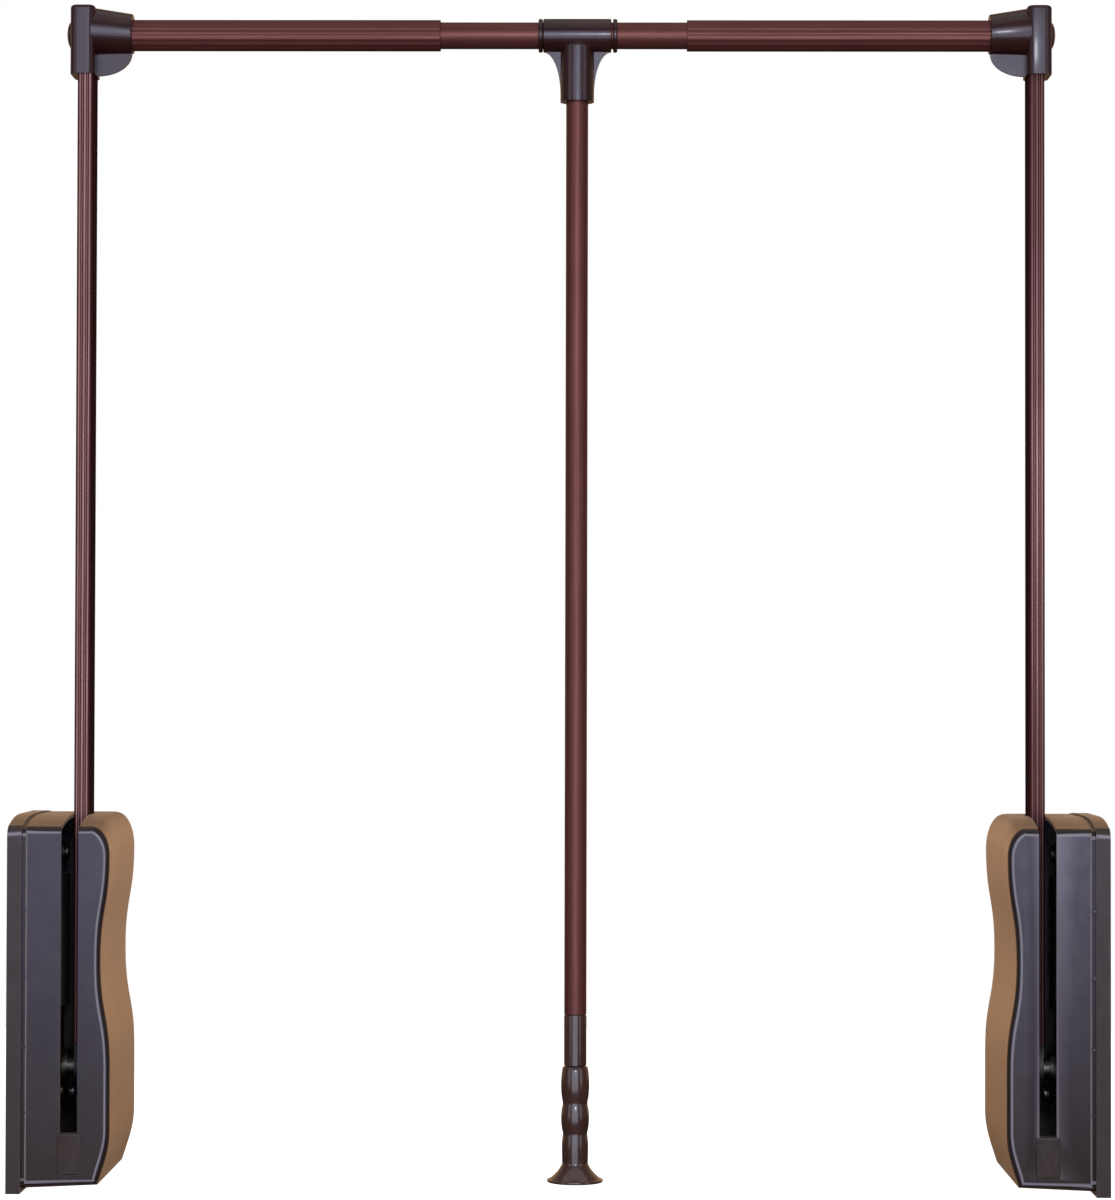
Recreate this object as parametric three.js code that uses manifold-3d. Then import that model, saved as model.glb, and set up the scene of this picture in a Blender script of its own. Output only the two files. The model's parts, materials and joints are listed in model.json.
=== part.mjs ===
// Pull down closet rod: two wall housings with sprung swing arms, a telescopic hanging rod
// between the arms, and a pull pole that hangs from a tee on the rod.
// Millimetres. +X runs from the left wall to the right wall, +Y to the back of the closet, +Z up.
// The origin lies midway between the walls, level with the bottom of the housings.
// Everything that belongs to one side is drawn from its wall face (x = 0) inwards (+x).

import * as THREE from "three";
import { mergeVertices } from "three/addons/utils/BufferGeometryUtils.js";
import Module from "manifold-3d";

const wasm = await Module();
wasm.setup();

// The whole rod
const openingWidth = 776;
const armInset = 44;
const pivotHeight = 82;
const armReach = 748;
const swingDegrees = 109;

// Gaps between pieces, and how far a cutting shape runs past what it cuts
const seatGap = 0.3;
const runGap = 0.35;
const overrun = 2;
const weldReach = 0.0001;

// The shallow crown that tray and cover have on top, lower at the front than at the rear
const crownFrontDrop = 6;
const crownRearDrop = 1.5;
const crownShares = [0.4, 0.75];
const crownRearRadius = 3;

// Base tray, measured from the side cover that it carries
const trayBeyondCover = 1;
const trayAboveCover = 0.6;
const trayRimHeight = 10;
const trayRimWall = 2;
const trayFloor = 3;
const wallHoleRadius = 2.75;
const wallHoleInset = 12;
const wallHoleLow = 20;
const wallHoleBelowTop = 29.4;

// Side cover
const coverGroove = 3;
const coverDepth = 142;
const coverTop = 264.4;
const coverBottom = 3.5;
const coverWall = 2.6;
const coverFrontRadius = 8;
const coverSideBevel = 5;
const coverShoulder = 72;
const coverCornerHeight = 26.4;
const coverCornerWidth = 13;
const coverWaist = 65.8;
const coverWaistBelowShoulder = 74;
const coverBelly = 72.8;
const coverBellyTop = 88;
const coverBellyBottom = 44;
const coverFoot = 64;
const coverFootHeight = 6;
const cornerCurveShare = 0.55;
const waveCurveShare = 0.5;
const footCurveShares = { outward: 0.62, firstRise: 0.42, secondRise: 0.68 };
const lipWall = 2.2;
const lipFloorGap = 1;
const slotWidth = 12.4;
const nubHeight = 1.8;
const nubStand = 1.2;
const nubHeights = [57, 103, 153, 200];

// Stop buffer at the foot of the slot
const bufferWidth = 16.4;
const bufferTop = 41.5;
const bufferBottom = 13.5;
const bufferProud = 1;
const bufferBevel = 1;
const bufferFlangeMargin = 2;
const bufferFlangeDepth = 12;

// Mechanism bracket, folded from sheet; its inner cheek stands on the far side of the arm
const sheet = 2.5;
const bracketFront = 30;
const bracketRear = 52.5;
const bracketBelowPivot = 46;
const bracketBelowTop = 14.4;
const bracketCorner = 8;
const cheekBesideArm = 12;
const cheekFront = 18;
const cheekBelowPivot = 32;
const cheekAbovePivot = 40;
const bracketScrewRadius = 2.8;
const bracketScrewHead = 5;
const bracketScrewHeadHeight = 3;
const bracketScrewTipGap = 0.6;
const upperScrewForward = 15;
const upperScrewBelowTop = 49.4;
const lowerScrewForward = 18;
const lowerScrewBelowPivot = 30;

// Pivot
const pivotBoltRadius = 4;
const pivotHeadRadius = 7;
const pivotHeadHeight = 4.5;
const pivotNutFlats = 13;
const pivotNutHeight = 5.5;
const pivotBushRadius = 6;

// Arm foot and its rivet
const footThickness = 9;
const footEyeRadius = 15;
const footHalfDepth = 12.5;
const footShankHeight = 18;
const tongueLength = 40;
const rivetAbovePivot = 40;
const rivetRadius = 2.5;
const rivetHeadRadius = 4;
const rivetHeadHeight = 0.9;

// Crank lever and pin
const leverBesideArm = 14;
const leverThickness = 4;
const leverHubRadius = 9;
const leverRootRadius = 13;
const leverTipRadius = 8.5;
const leverHubProud = 0.7;
const crankRadius = 24;
const crankPinRadius = 4;
const crankPinHead = 6;
const crankPinHeadHeight = 2;

// Gas strut
const strutBesideArm = 20;
const strutAnchorY = 18;
const strutAnchorBelowTop = 28.4;
const strutEyeRadius = 8;
const strutEyeWidth = 8;
const strutRodRadius = 4;
const pistonRadius = 5.1;
const pistonGap = 1;
const pistonLength = 8;
const barrelRadius = 7.5;
const barrelBore = 5.5;
const barrelAboveEye = 62;
const barrelBelowAnchor = 15.6;
const barrelEndWall = 5;
const barrelNeckRadius = 3.6;
const anchorPinRadius = 4;
const anchorCollarRadius = 6;
const anchorHeadHeight = 2.2;

// Arm tube, a flat oval with fluted narrow edges
const armWidth = 11;
const armDepth = 29;
const armWall = 1.5;
const armTopBelowConnector = 12;
const armFluteDepth = 0.4;
const armFlutes = 5;

// Corner connector
const sleeveOuterWall = 11;
const sleeveInnerWall = 7;
const sleeveHalfDepth = 17;
const sleeveBelowRod = 30;
const sleeveAboveRod = 20;
const sleeveCorner = 5.5;
const sleeveTopBevel = 2.5;
const rodBarrelReach = 33;
const rodBarrelEndRadius = 14.5;
const rodBarrelEndRise = 1;
const rodBarrelRootRadius = 17.1;
const rodBarrelRootRise = 2.9;
const rodBarrelInSleeve = 3;
const rodBarrelLip = 1;
const finThickness = 3;
const rodSocketDepth = 25;
const capPocketRadius = 8;
const capPocketDepth = 3;
const capRadius = 10;
const capDome = 3.5;
const capSpigot = 1;
const connectorBoltRadius = 3;
const connectorBoltHead = 5.5;
const connectorBoltHeadHeight = 1.8;
const connectorBoltLength = 30;

// Telescopic rod
const outerTubeRadius = 11.45;
const outerTubeReach = 91.7;
const outerFlutes = 16;
const outerFluteDepth = 0.3;
const innerTubeRadius = 9.65;
const innerTubeWall = 1.2;
const innerTubeLength = 430;
const plugLength = 20;
const leftRodSlack = 4.9;
const rightRodSlack = 0.5;

// Tee on the inner tube, with a retaining ring on each side
const teeCentre = 12.05;
const teeBarrelLength = 49.5;
const teeBarrelRadius = 12.2;
const teeEndBevel = 1;
const teeSocketRadius = 12.2;
const teeSocketForward = 1;
const teeSocketBelowAxis = 48.6;
const teeSocketDomeBelowAxis = 4;
const teeSocketDome = 5;
const teeWebThickness = 3;
const teeWebSpan = 24.5;
const teeWebTopBelowAxis = 12;
const teeWebFootBelowAxis = 43;
const teeSocketFloorBelowAxis = 17;
const ringWidth = 3.1;
const ringRadius = 12.2;
const ringBevel = 1;
const ringPlay = 1.2;
const teeScrewRise = 11.6;
const teeScrewRadius = 1.8;
const teeScrewHead = 3.4;
const teeScrewHeadHeight = 2;
const teeScrewLength = 8;

// Pull pole, ferrule and grip
const poleRadius = 8;
const poleWall = 1.2;
const ferruleLength = 36.8;
const ferruleRadius = 8.1;
const ferruleUpperSpigot = 25;
const ferruleLowerSpigot = 21;
const ferruleLowerRadius = 5.4;
const gripTop = 83.2;
const gripUpperWaist = 56.5;
const gripLowerWaist = 35;
const gripFlareTop = 13;
const gripTopRadius = 8.7;
const gripUpperRadius = 10.2;
const gripMiddleRadius = 10.1;
const gripLowerRadius = 9.5;
const gripNeckRadius = 8.3;
const gripLowNeckRadius = 9.3;
const gripFlareRadius = 18.8;
const gripRimRadius = 20.15;
const gripRimHeight = 1.8;
const gripFlareMiddleShares = { radius: 0.38, height: 0.42 };
const gripRecess = 1;
const gripRecessRadius = 15;

// How finely round things are cut
const fine = 24;
const coarse = 14;
const screwSteps = 10;
const curveSteps = 4;
const bevelSteps = 2;
const gripSteps = 4;

// Colours and finishes
const finish = (color, roughness, metalness) =>
  new THREE.MeshStandardMaterial({ color, roughness, metalness });
const housingPlastic = () => finish(0x4a4348, 0.55, 0);
const bufferRubber = () => finish(0x33292a, 0.75, 0);
const glossPlastic = () => finish(0x382726, 0.28, 0);
const brownAluminium = () => finish(0x643a36, 0.42, 0.45);
const steel = () => finish(0x9b9b9e, 0.35, 0.9);
const darkSteel = () => finish(0x2c2b2d, 0.45, 0.8);
const nylon = () => finish(0x2a2422, 0.6, 0);

// Places worked out from the sizes
const rodHeight = pivotHeight + armReach;
const coverHalf = coverDepth / 2;
const coverStart = trayRimHeight + coverGroove;
const coverShoulderHeight = coverTop - coverCornerHeight;
const coverWaistHeight = coverShoulderHeight - coverWaistBelowShoulder;
const trayHalf = coverHalf + trayBeyondCover;
const trayTop = coverTop + trayAboveCover;
const trayFrontRadius = coverFrontRadius + trayBeyondCover;
const lipInset = trayRimWall - Math.min(trayBeyondCover, trayAboveCover) + seatGap;
const wallCheekStart = trayFloor + seatGap;
const wallCheekEnd = wallCheekStart + sheet;
const bracketLow = pivotHeight - bracketBelowPivot;
const bracketHigh = coverTop - bracketBelowTop;
const cheekStart = armInset + cheekBesideArm;
const cheekEnd = cheekStart + sheet;
const cheekLow = pivotHeight - cheekBelowPivot;
const cheekHigh = pivotHeight + cheekAbovePivot;
const upperScrewAt = { y: -upperScrewForward, z: coverTop - upperScrewBelowTop };
const lowerScrewAt = { y: -lowerScrewForward, z: pivotHeight - lowerScrewBelowPivot };
const leverStart = armInset - leverBesideArm;
const crankRest = THREE.MathUtils.degToRad(-swingDegrees / 2);
const crankPinY = crankRadius * Math.cos(crankRest);
const crankPinHeight = pivotHeight + crankRadius * Math.sin(crankRest);
const strutInset = armInset - strutBesideArm;
const strutAnchorHeight = coverTop - strutAnchorBelowTop;
const strutLength = Math.hypot(strutAnchorY - crankPinY, strutAnchorHeight - crankPinHeight);
const strutLean = Math.atan2(strutAnchorY - crankPinY, strutAnchorHeight - crankPinHeight);
const rivetHeight = pivotHeight + rivetAbovePivot;
const sleeveStart = armInset - sleeveOuterWall;
const sleeveEnd = armInset + sleeveInnerWall;
const sleeveLow = rodHeight - sleeveBelowRod;
const sleeveHigh = rodHeight + sleeveAboveRod;
const armStartHeight = pivotHeight + footShankHeight;
const armTopHeight = sleeveHigh - armTopBelowConnector;
const armEdgeCentre = (armDepth - armWidth) / 2;
const rodBarrelEnd = armInset + rodBarrelReach;
const rodSocketFloor = rodBarrelEnd - rodSocketDepth;
const outerTubeBore = innerTubeRadius + runGap;
const outerTubeLength = openingWidth / 2 - rodSocketFloor - rightRodSlack - outerTubeReach;
const teeSocketLow = rodHeight - teeSocketBelowAxis;
const teeScrewHeight = teeSocketLow + teeScrewRise;
const ferruleLow = gripTop + seatGap;
const ferruleTop = ferruleLow + ferruleLength;

// Turns a closed geometry into a solid that can be cut and joined
function solid(geometry) {
  const bare = geometry.clone();
  bare.deleteAttribute("normal");
  bare.deleteAttribute("uv");
  const welded = mergeVertices(bare, weldReach);
  const places = welded.getAttribute("position");
  const corners = welded.getIndex().array;
  const triangles = [];
  const [a, b, c] = [new THREE.Vector3(), new THREE.Vector3(), new THREE.Vector3()];
  let volume = 0;
  for (let i = 0; i < corners.length; i += 3) {
    const [p, q, r] = [corners[i], corners[i + 1], corners[i + 2]];
    if (p === q || q === r || r === p) continue;
    triangles.push([p, q, r]);
    a.fromBufferAttribute(places, p);
    b.fromBufferAttribute(places, q);
    c.fromBufferAttribute(places, r);
    volume += a.dot(b.cross(c));
  }
  const outward = volume > 0 ? triangles : triangles.map(([p, q, r]) => [p, r, q]);
  return new wasm.Manifold(
    new wasm.Mesh({
      numProp: 3,
      vertProperties: new Float32Array(places.array),
      triVerts: new Uint32Array(outward.flat()),
    }),
  );
}

const join = (first, ...others) => others.reduce((whole, other) => whole.add(other), first);
const cut = (first, ...tools) => tools.reduce((rest, tool) => rest.subtract(tool), first);

// Makes the named mesh of a finished solid
function piece(name, shape, material) {
  const { vertProperties, triVerts } = shape.getMesh();
  const geometry = new THREE.BufferGeometry();
  geometry.setAttribute("position", new THREE.BufferAttribute(vertProperties, 3));
  geometry.setIndex(new THREE.BufferAttribute(triVerts, 1));
  geometry.computeVertexNormals();
  const mesh = new THREE.Mesh(geometry, material);
  mesh.name = name;
  return mesh;
}

// Outlines drawn in a plane and pulled along the axis that stands on it.
// Along X the outline holds (y, z), along Y it holds (x, z), along Z it holds (x, y).
const planes = {
  x: new THREE.Matrix4().makeBasis(
    new THREE.Vector3(0, 1, 0),
    new THREE.Vector3(0, 0, 1),
    new THREE.Vector3(1, 0, 0),
  ),
  y: new THREE.Matrix4().makeBasis(
    new THREE.Vector3(1, 0, 0),
    new THREE.Vector3(0, 0, 1),
    new THREE.Vector3(0, -1, 0),
  ),
  z: new THREE.Matrix4(),
};

function pulled(axis, outline, from, to, bevel = 0) {
  const geometry = new THREE.ExtrudeGeometry(outline, {
    depth: to - from - 2 * bevel,
    curveSegments: curveSteps,
    bevelEnabled: bevel > 0,
    bevelThickness: bevel,
    bevelSize: bevel,
    bevelOffset: -bevel,
    bevelSegments: bevelSteps,
  });
  geometry.translate(0, 0, bevel);
  geometry.applyMatrix4(planes[axis]);
  const start = axis === "y" ? to : from;
  const along = { x: [1, 0, 0], y: [0, 1, 0], z: [0, 0, 1] }[axis];
  return solid(geometry.translate(...along.map((step) => step * start)));
}

// A turned shape; the profile is a list of [radius, place along the axis]
function turned(axis, profile, segments = coarse) {
  const points = profile.map(([radius, along]) => new THREE.Vector2(radius, along));
  const geometry = new THREE.LatheGeometry(points, segments);
  if (axis === "x") geometry.rotateZ(-Math.PI / 2);
  if (axis === "z") geometry.rotateX(Math.PI / 2);
  return solid(geometry);
}

const rod = (axis, radius, from, to, segments) =>
  turned(axis, [[0, from], [radius, from], [radius, to], [0, to]], segments);

const pipe = (axis, radius, bore, from, to, segments) =>
  turned(axis, [[bore, from], [radius, from], [radius, to], [bore, to], [bore, from]], segments);

function block([xFrom, xTo], [yFrom, yTo], [zFrom, zTo]) {
  const geometry = new THREE.BoxGeometry(xTo - xFrom, yTo - yFrom, zTo - zFrom);
  return solid(geometry.translate((xFrom + xTo) / 2, (yFrom + yTo) / 2, (zFrom + zTo) / 2));
}

function rectangle(left, right, low, high) {
  const outline = new THREE.Shape();
  outline.moveTo(left, low);
  outline.lineTo(right, low);
  outline.lineTo(right, high);
  outline.lineTo(left, high);
  outline.closePath();
  return outline;
}

function roundedRectangle(left, right, low, high, radius) {
  const outline = new THREE.Shape();
  outline.moveTo(left + radius, low);
  outline.lineTo(right - radius, low);
  outline.absarc(right - radius, low + radius, radius, -Math.PI / 2, 0);
  outline.lineTo(right, high - radius);
  outline.absarc(right - radius, high - radius, radius, 0, Math.PI / 2);
  outline.lineTo(left + radius, high);
  outline.absarc(left + radius, high - radius, radius, Math.PI / 2, Math.PI);
  outline.lineTo(left, low + radius);
  outline.absarc(left + radius, low + radius, radius, Math.PI, 1.5 * Math.PI);
  return outline;
}

// A flat oval in (x, y): straight flanks along y and round ends
function flatOval(centre, halfWidth, edgeCentre) {
  const outline = new THREE.Shape();
  outline.absarc(centre, edgeCentre, halfWidth, 0, Math.PI);
  outline.absarc(centre, -edgeCentre, halfWidth, Math.PI, 2 * Math.PI);
  return outline;
}

// Two circles and their outer tangents, as a lever has them
function tearDrop(first, second) {
  const heading = Math.atan2(second.y - first.y, second.x - first.x);
  const spread = Math.acos(
    (first.radius - second.radius) / Math.hypot(second.x - first.x, second.y - first.y),
  );
  const outline = new THREE.Shape();
  outline.absarc(first.x, first.y, first.radius, heading + spread, heading - spread + 2 * Math.PI);
  outline.absarc(second.x, second.y, second.radius, heading - spread, heading + spread);
  return outline;
}

function hexagon(acrossFlats) {
  const corner = acrossFlats / 2 / Math.cos(Math.PI / 6);
  const points = Array.from({ length: 6 }, (_, i) => {
    const turn = (i * Math.PI) / 3;
    return new THREE.Vector2(corner * Math.cos(turn), corner * Math.sin(turn));
  });
  return new THREE.Shape(points);
}

const movedTo = (shape, x, y, z) => shape.translate(x, y, z);

// A quarter round about (y, z), or a square corner there where the radius is zero
function addCorner(outline, y, z, radius, turn) {
  if (radius > 0) outline.absarc(y, z, radius, turn, turn + Math.PI / 2);
  else outline.lineTo(y, z);
}

// Side outline in (y, z) of tray and cover: round at the front top and crowned towards the rear
function crownedOutline(half, low, top, frontRadius, lowRadius) {
  const frontTop = top - crownFrontDrop;
  const rearTop = top - crownRearDrop;
  const [crownFront, crownRear] = crownShares.map((share) => 2 * half * share - half);
  const outline = new THREE.Shape();
  outline.moveTo(-half, low + lowRadius);
  addCorner(outline, lowRadius - half, low + lowRadius, lowRadius, Math.PI);
  addCorner(outline, half - lowRadius, low + lowRadius, lowRadius, 1.5 * Math.PI);
  outline.lineTo(half, rearTop - crownRearRadius);
  addCorner(outline, half - crownRearRadius, rearTop - crownRearRadius, crownRearRadius, 0);
  outline.quadraticCurveTo((half + crownRear) / 2, top, crownRear, top);
  outline.lineTo(crownFront, top);
  outline.quadraticCurveTo((crownFront - half) / 2, top, frontRadius - half, frontTop);
  addCorner(outline, frontRadius - half, frontTop - frontRadius, frontRadius, Math.PI / 2);
  return outline;
}

const trayOutline = (inset) =>
  crownedOutline(trayHalf - inset, inset, trayTop - inset, trayFrontRadius - inset, 0);

const coverSideOutline = (inset) =>
  crownedOutline(
    coverHalf - inset,
    coverBottom + inset,
    coverTop - inset,
    coverFrontRadius - inset,
    coverFrontRadius - inset,
  );

// Holes for the bracket's two screws, through bracket and tray
const bracketScrewHoles = () =>
  [upperScrewAt, lowerScrewAt].map(({ y, z }) =>
    movedTo(
      rod("x", bracketScrewRadius + seatGap, -overrun, wallCheekEnd + overrun, screwSteps), 0, y, z,
    ),
  );

function makeTray() {
  const rimmed = cut(
    pulled("x", trayOutline(0), 0, trayRimHeight),
    pulled("x", trayOutline(trayRimWall), trayFloor, trayRimHeight + overrun),
  );
  const holeY = trayHalf - wallHoleInset;
  const holes = [-holeY, holeY].flatMap((y) =>
    [wallHoleLow, coverTop - wallHoleBelowTop].map((z) =>
      movedTo(rod("x", wallHoleRadius, -overrun, trayFloor + overrun, screwSteps), 0, y, z),
    ),
  );
  return cut(rimmed, ...holes, ...bracketScrewHoles());
}

// The cover's outline in (x, z), with its wavy inner side, drawn in by an inset
function coverOutline(inset) {
  const start = coverStart - 2 * coverSideBevel;
  const top = coverTop - inset;
  const shoulder = coverShoulder - inset;
  const waist = coverWaist - inset;
  const belly = coverBelly - inset;
  const foot = coverFoot - inset;
  const footHeight = coverFootHeight + inset;
  const footRise = coverBellyBottom - footHeight;
  const upperWave = (coverShoulderHeight - coverWaistHeight) * waveCurveShare;
  const lowerWave = (coverWaistHeight - coverBellyTop) * waveCurveShare;
  const cornerRise = (top - coverShoulderHeight) * cornerCurveShare;
  const outline = new THREE.Shape();
  outline.moveTo(start, coverBottom + inset);
  outline.lineTo(foot, footHeight);
  outline.bezierCurveTo(
    foot + (belly - foot) * footCurveShares.outward,
    footHeight + footRise * footCurveShares.firstRise,
    belly,
    footHeight + footRise * footCurveShares.secondRise,
    belly,
    coverBellyBottom,
  );
  outline.lineTo(belly, coverBellyTop);
  outline.bezierCurveTo(
    belly, coverBellyTop + lowerWave, waist, coverWaistHeight - lowerWave, waist, coverWaistHeight,
  );
  outline.bezierCurveTo(
    waist, coverWaistHeight + upperWave, shoulder, coverShoulderHeight - upperWave,
    shoulder, coverShoulderHeight,
  );
  outline.bezierCurveTo(
    shoulder, coverShoulderHeight + cornerRise,
    shoulder - coverCornerWidth * (1 - cornerCurveShare), top,
    shoulder - coverCornerWidth, top,
  );
  outline.lineTo(start, top);
  outline.closePath();
  return outline;
}

function makeCover() {
  const end = coverBelly + overrun;
  const outside = pulled("y", coverOutline(0), -coverHalf, coverHalf, coverSideBevel).intersect(
    pulled("x", coverSideOutline(0), coverStart, end),
  );
  const innerHalf = coverHalf - coverWall;
  const inside = pulled(
    "y", coverOutline(coverWall), -innerHalf, innerHalf, coverSideBevel - coverWall,
  ).intersect(pulled("x", coverSideOutline(coverWall), 0, end));
  const lipStart = trayFloor + lipFloorGap;
  const lipEnd = coverStart + coverWall;
  const lip = cut(
    pulled("x", coverSideOutline(lipInset), lipStart, lipEnd),
    pulled("x", coverSideOutline(lipInset + lipWall), 0, lipEnd + overrun),
  );
  const nubOutside = coverHalf - lipInset + nubStand;
  const nubInside = coverHalf - lipInset - lipWall / 2;
  const nubs = nubHeights.flatMap((z) =>
    [-1, 1].map((side) =>
      block(
        [trayRimHeight + seatGap, coverStart + coverWall / 2],
        [side * nubInside, side * nubOutside].sort((a, b) => a - b),
        [z - nubHeight / 2, z + nubHeight / 2],
      ),
    ),
  );
  const slot = join(
    block(
      [armInset - slotWidth / 2, armInset + slotWidth / 2],
      [-coverHalf - overrun, armEdgeCentre],
      [bufferTop, coverTop + overrun],
    ),
    movedTo(
      rod("z", slotWidth / 2, coverShoulderHeight, coverTop + overrun), armInset, armEdgeCentre, 0,
    ),
  );
  const notch = block(
    [armInset - bufferWidth / 2 - seatGap, armInset + bufferWidth / 2 + seatGap],
    [-coverHalf - overrun, coverWall + overrun - coverHalf],
    [bufferBottom - seatGap, bufferTop + seatGap],
  );
  return cut(join(cut(outside, inside), lip, ...nubs), slot, notch);
}

function makeBuffer() {
  const front = -coverHalf - bufferProud;
  const flangeFront = coverWall + seatGap - coverHalf;
  const flangeRear = flangeFront + bufferFlangeDepth;
  const left = armInset - bufferWidth / 2;
  const right = armInset + bufferWidth / 2;
  return join(
    pulled("y", rectangle(left, right, bufferBottom, bufferTop), front, flangeRear, bufferBevel),
    block(
      [left - bufferFlangeMargin, right + bufferFlangeMargin],
      [flangeFront, flangeRear],
      [bufferBottom - bufferFlangeMargin, bufferTop - bufferFlangeMargin],
    ),
  );
}

function makeBracket() {
  const wallCheek = pulled(
    "x",
    roundedRectangle(-bracketFront, bracketRear, bracketLow, bracketHigh, bracketCorner),
    wallCheekStart,
    wallCheekEnd,
  );
  const web = block([wallCheekStart, cheekEnd], [bracketRear - sheet, bracketRear], [cheekLow, cheekHigh]);
  const innerCheek = pulled(
    "x",
    roundedRectangle(-cheekFront, bracketRear, cheekLow, cheekHigh, bracketCorner),
    cheekStart,
    cheekEnd,
  );
  const squaredRear = block(
    [cheekStart, cheekEnd], [bracketRear - bracketCorner, bracketRear], [cheekLow, cheekHigh],
  );
  const pivotHole = movedTo(
    rod("x", pivotBoltRadius + seatGap, 0, cheekEnd + overrun), 0, 0, pivotHeight,
  );
  const anchorHole = movedTo(
    rod("x", anchorPinRadius + seatGap, 0, strutInset), 0, strutAnchorY, strutAnchorHeight,
  );
  const sheetMetal = join(wallCheek, web, innerCheek, squaredRear);
  return cut(sheetMetal, pivotHole, anchorHole, ...bracketScrewHoles());
}

function makeBracketScrew({ y, z }) {
  const headStart = wallCheekEnd + seatGap;
  const headEnd = headStart + bracketScrewHeadHeight;
  const profile = [
    [0, bracketScrewTipGap],
    [bracketScrewRadius, bracketScrewTipGap],
    [bracketScrewRadius, headStart],
    [bracketScrewHead, headStart],
    [bracketScrewHead, (headStart + headEnd) / 2],
    [bracketScrewHead / 2, headEnd],
    [0, headEnd],
  ];
  return movedTo(turned("x", profile, screwSteps), 0, y, z);
}

const nutStart = wallCheekEnd + seatGap;
const nutEnd = nutStart + pivotNutHeight;

function makePivotBolt() {
  const headStart = cheekEnd + seatGap;
  const headEnd = headStart + pivotHeadHeight;
  const tip = wallCheekStart + seatGap;
  const profile = [
    [0, tip],
    [pivotBoltRadius, tip],
    [pivotBoltRadius, headStart],
    [pivotHeadRadius, headStart],
    [pivotHeadRadius, (headStart + headEnd) / 2],
    [pivotHeadRadius / 2, headEnd],
    [0, headEnd],
  ];
  return movedTo(turned("x", profile), 0, 0, pivotHeight);
}

const makePivotNut = () =>
  movedTo(
    cut(
      pulled("x", hexagon(pivotNutFlats), nutStart, nutEnd),
      rod("x", pivotBoltRadius + seatGap, 0, nutEnd + overrun),
    ),
    0, 0, pivotHeight,
  );

const makePivotBush = () =>
  movedTo(
    pipe("x", pivotBushRadius, pivotBoltRadius + seatGap, nutEnd + seatGap, cheekStart - seatGap),
    0, 0, pivotHeight,
  );

// Arm tube section in (x, y) with its narrow edges fluted
function armOutline() {
  const ridge = armWidth / 2;
  const groove = ridge - armFluteDepth;
  const steps = 2 * armFlutes + 1;
  const edge = (centreY, startTurn) =>
    Array.from({ length: steps + 1 }, (_, i) => {
      const radius = i % 2 === 0 || i === steps ? ridge : groove;
      const turn = startTurn + (i * Math.PI) / steps;
      return new THREE.Vector2(armInset + radius * Math.cos(turn), centreY + radius * Math.sin(turn));
    });
  return new THREE.Shape([...edge(armEdgeCentre, 0), ...edge(-armEdgeCentre, Math.PI)]);
}

function makeArmTube() {
  const boreOutline = flatOval(armInset, armWidth / 2 - armWall, armEdgeCentre);
  const boltHole = movedTo(
    rod("x", connectorBoltRadius + seatGap, sleeveStart, sleeveEnd), 0, 0, rodHeight,
  );
  const rivetHole = movedTo(
    rod("x", rivetRadius + seatGap, sleeveStart, sleeveEnd), 0, 0, rivetHeight,
  );
  return cut(
    pulled("z", armOutline(), armStartHeight, armTopHeight),
    pulled("z", boreOutline, armStartHeight - overrun, armTopHeight + overrun),
    boltHole,
    rivetHole,
  );
}

function makeArmFoot() {
  const left = armInset - footThickness / 2;
  const right = armInset + footThickness / 2;
  const shoulder = armStartHeight - seatGap;
  const eye = movedTo(rod("x", footEyeRadius, left, right), 0, 0, pivotHeight);
  const shank = block([left, right], [-footHalfDepth, footHalfDepth], [pivotHeight, shoulder]);
  const tongueHalf = armWidth / 2 - armWall - seatGap;
  const tongue = pulled(
    "z",
    flatOval(armInset, tongueHalf, armEdgeCentre),
    shoulder - footThickness,
    shoulder + tongueLength,
  );
  const hubHole = movedTo(
    rod("x", leverHubRadius + seatGap, left - overrun, right + overrun), 0, 0, pivotHeight,
  );
  const rivetHole = movedTo(
    rod("x", rivetRadius + seatGap, left - overrun, right + overrun), 0, 0, rivetHeight,
  );
  return cut(join(eye, shank, tongue), hubHole, rivetHole);
}

function makeFootRivet() {
  const left = armInset - armWidth / 2 - seatGap;
  const right = armInset + armWidth / 2 + seatGap;
  const profile = [
    [0, left - rivetHeadHeight],
    [rivetHeadRadius, left - rivetHeadHeight / 2],
    [rivetHeadRadius, left],
    [rivetRadius, left],
    [rivetRadius, right],
    [rivetHeadRadius, right],
    [rivetHeadRadius, right + rivetHeadHeight / 2],
    [0, right + rivetHeadHeight],
  ];
  return movedTo(turned("x", profile, screwSteps), 0, 0, rivetHeight);
}

const leverEnd = leverStart + leverThickness;

function makeCrankLever() {
  const plate = pulled(
    "x",
    tearDrop(
      { x: 0, y: pivotHeight, radius: leverRootRadius },
      { x: crankPinY, y: crankPinHeight, radius: leverTipRadius },
    ),
    leverStart,
    leverEnd,
  );
  const hubEnd = armInset + footThickness / 2 + leverHubProud;
  const hub = movedTo(rod("x", leverHubRadius, leverStart, hubEnd), 0, 0, pivotHeight);
  const bore = movedTo(
    rod("x", pivotBushRadius + runGap, leverStart - overrun, hubEnd + overrun), 0, 0, pivotHeight,
  );
  const pinHole = movedTo(
    rod("x", crankPinRadius + seatGap, leverStart - overrun, leverEnd + overrun),
    0, crankPinY, crankPinHeight,
  );
  return cut(join(plate, hub), bore, pinHole);
}

function makeCrankPin() {
  const tip = strutInset + strutEyeWidth / 2 + seatGap;
  const headStart = leverEnd + seatGap;
  const headEnd = headStart + crankPinHeadHeight;
  const profile = [
    [0, tip],
    [crankPinRadius, tip],
    [crankPinRadius, headStart],
    [crankPinHead, headStart],
    [crankPinHead, headEnd],
    [0, headEnd],
  ];
  return movedTo(turned("x", profile), 0, crankPinY, crankPinHeight);
}

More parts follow.
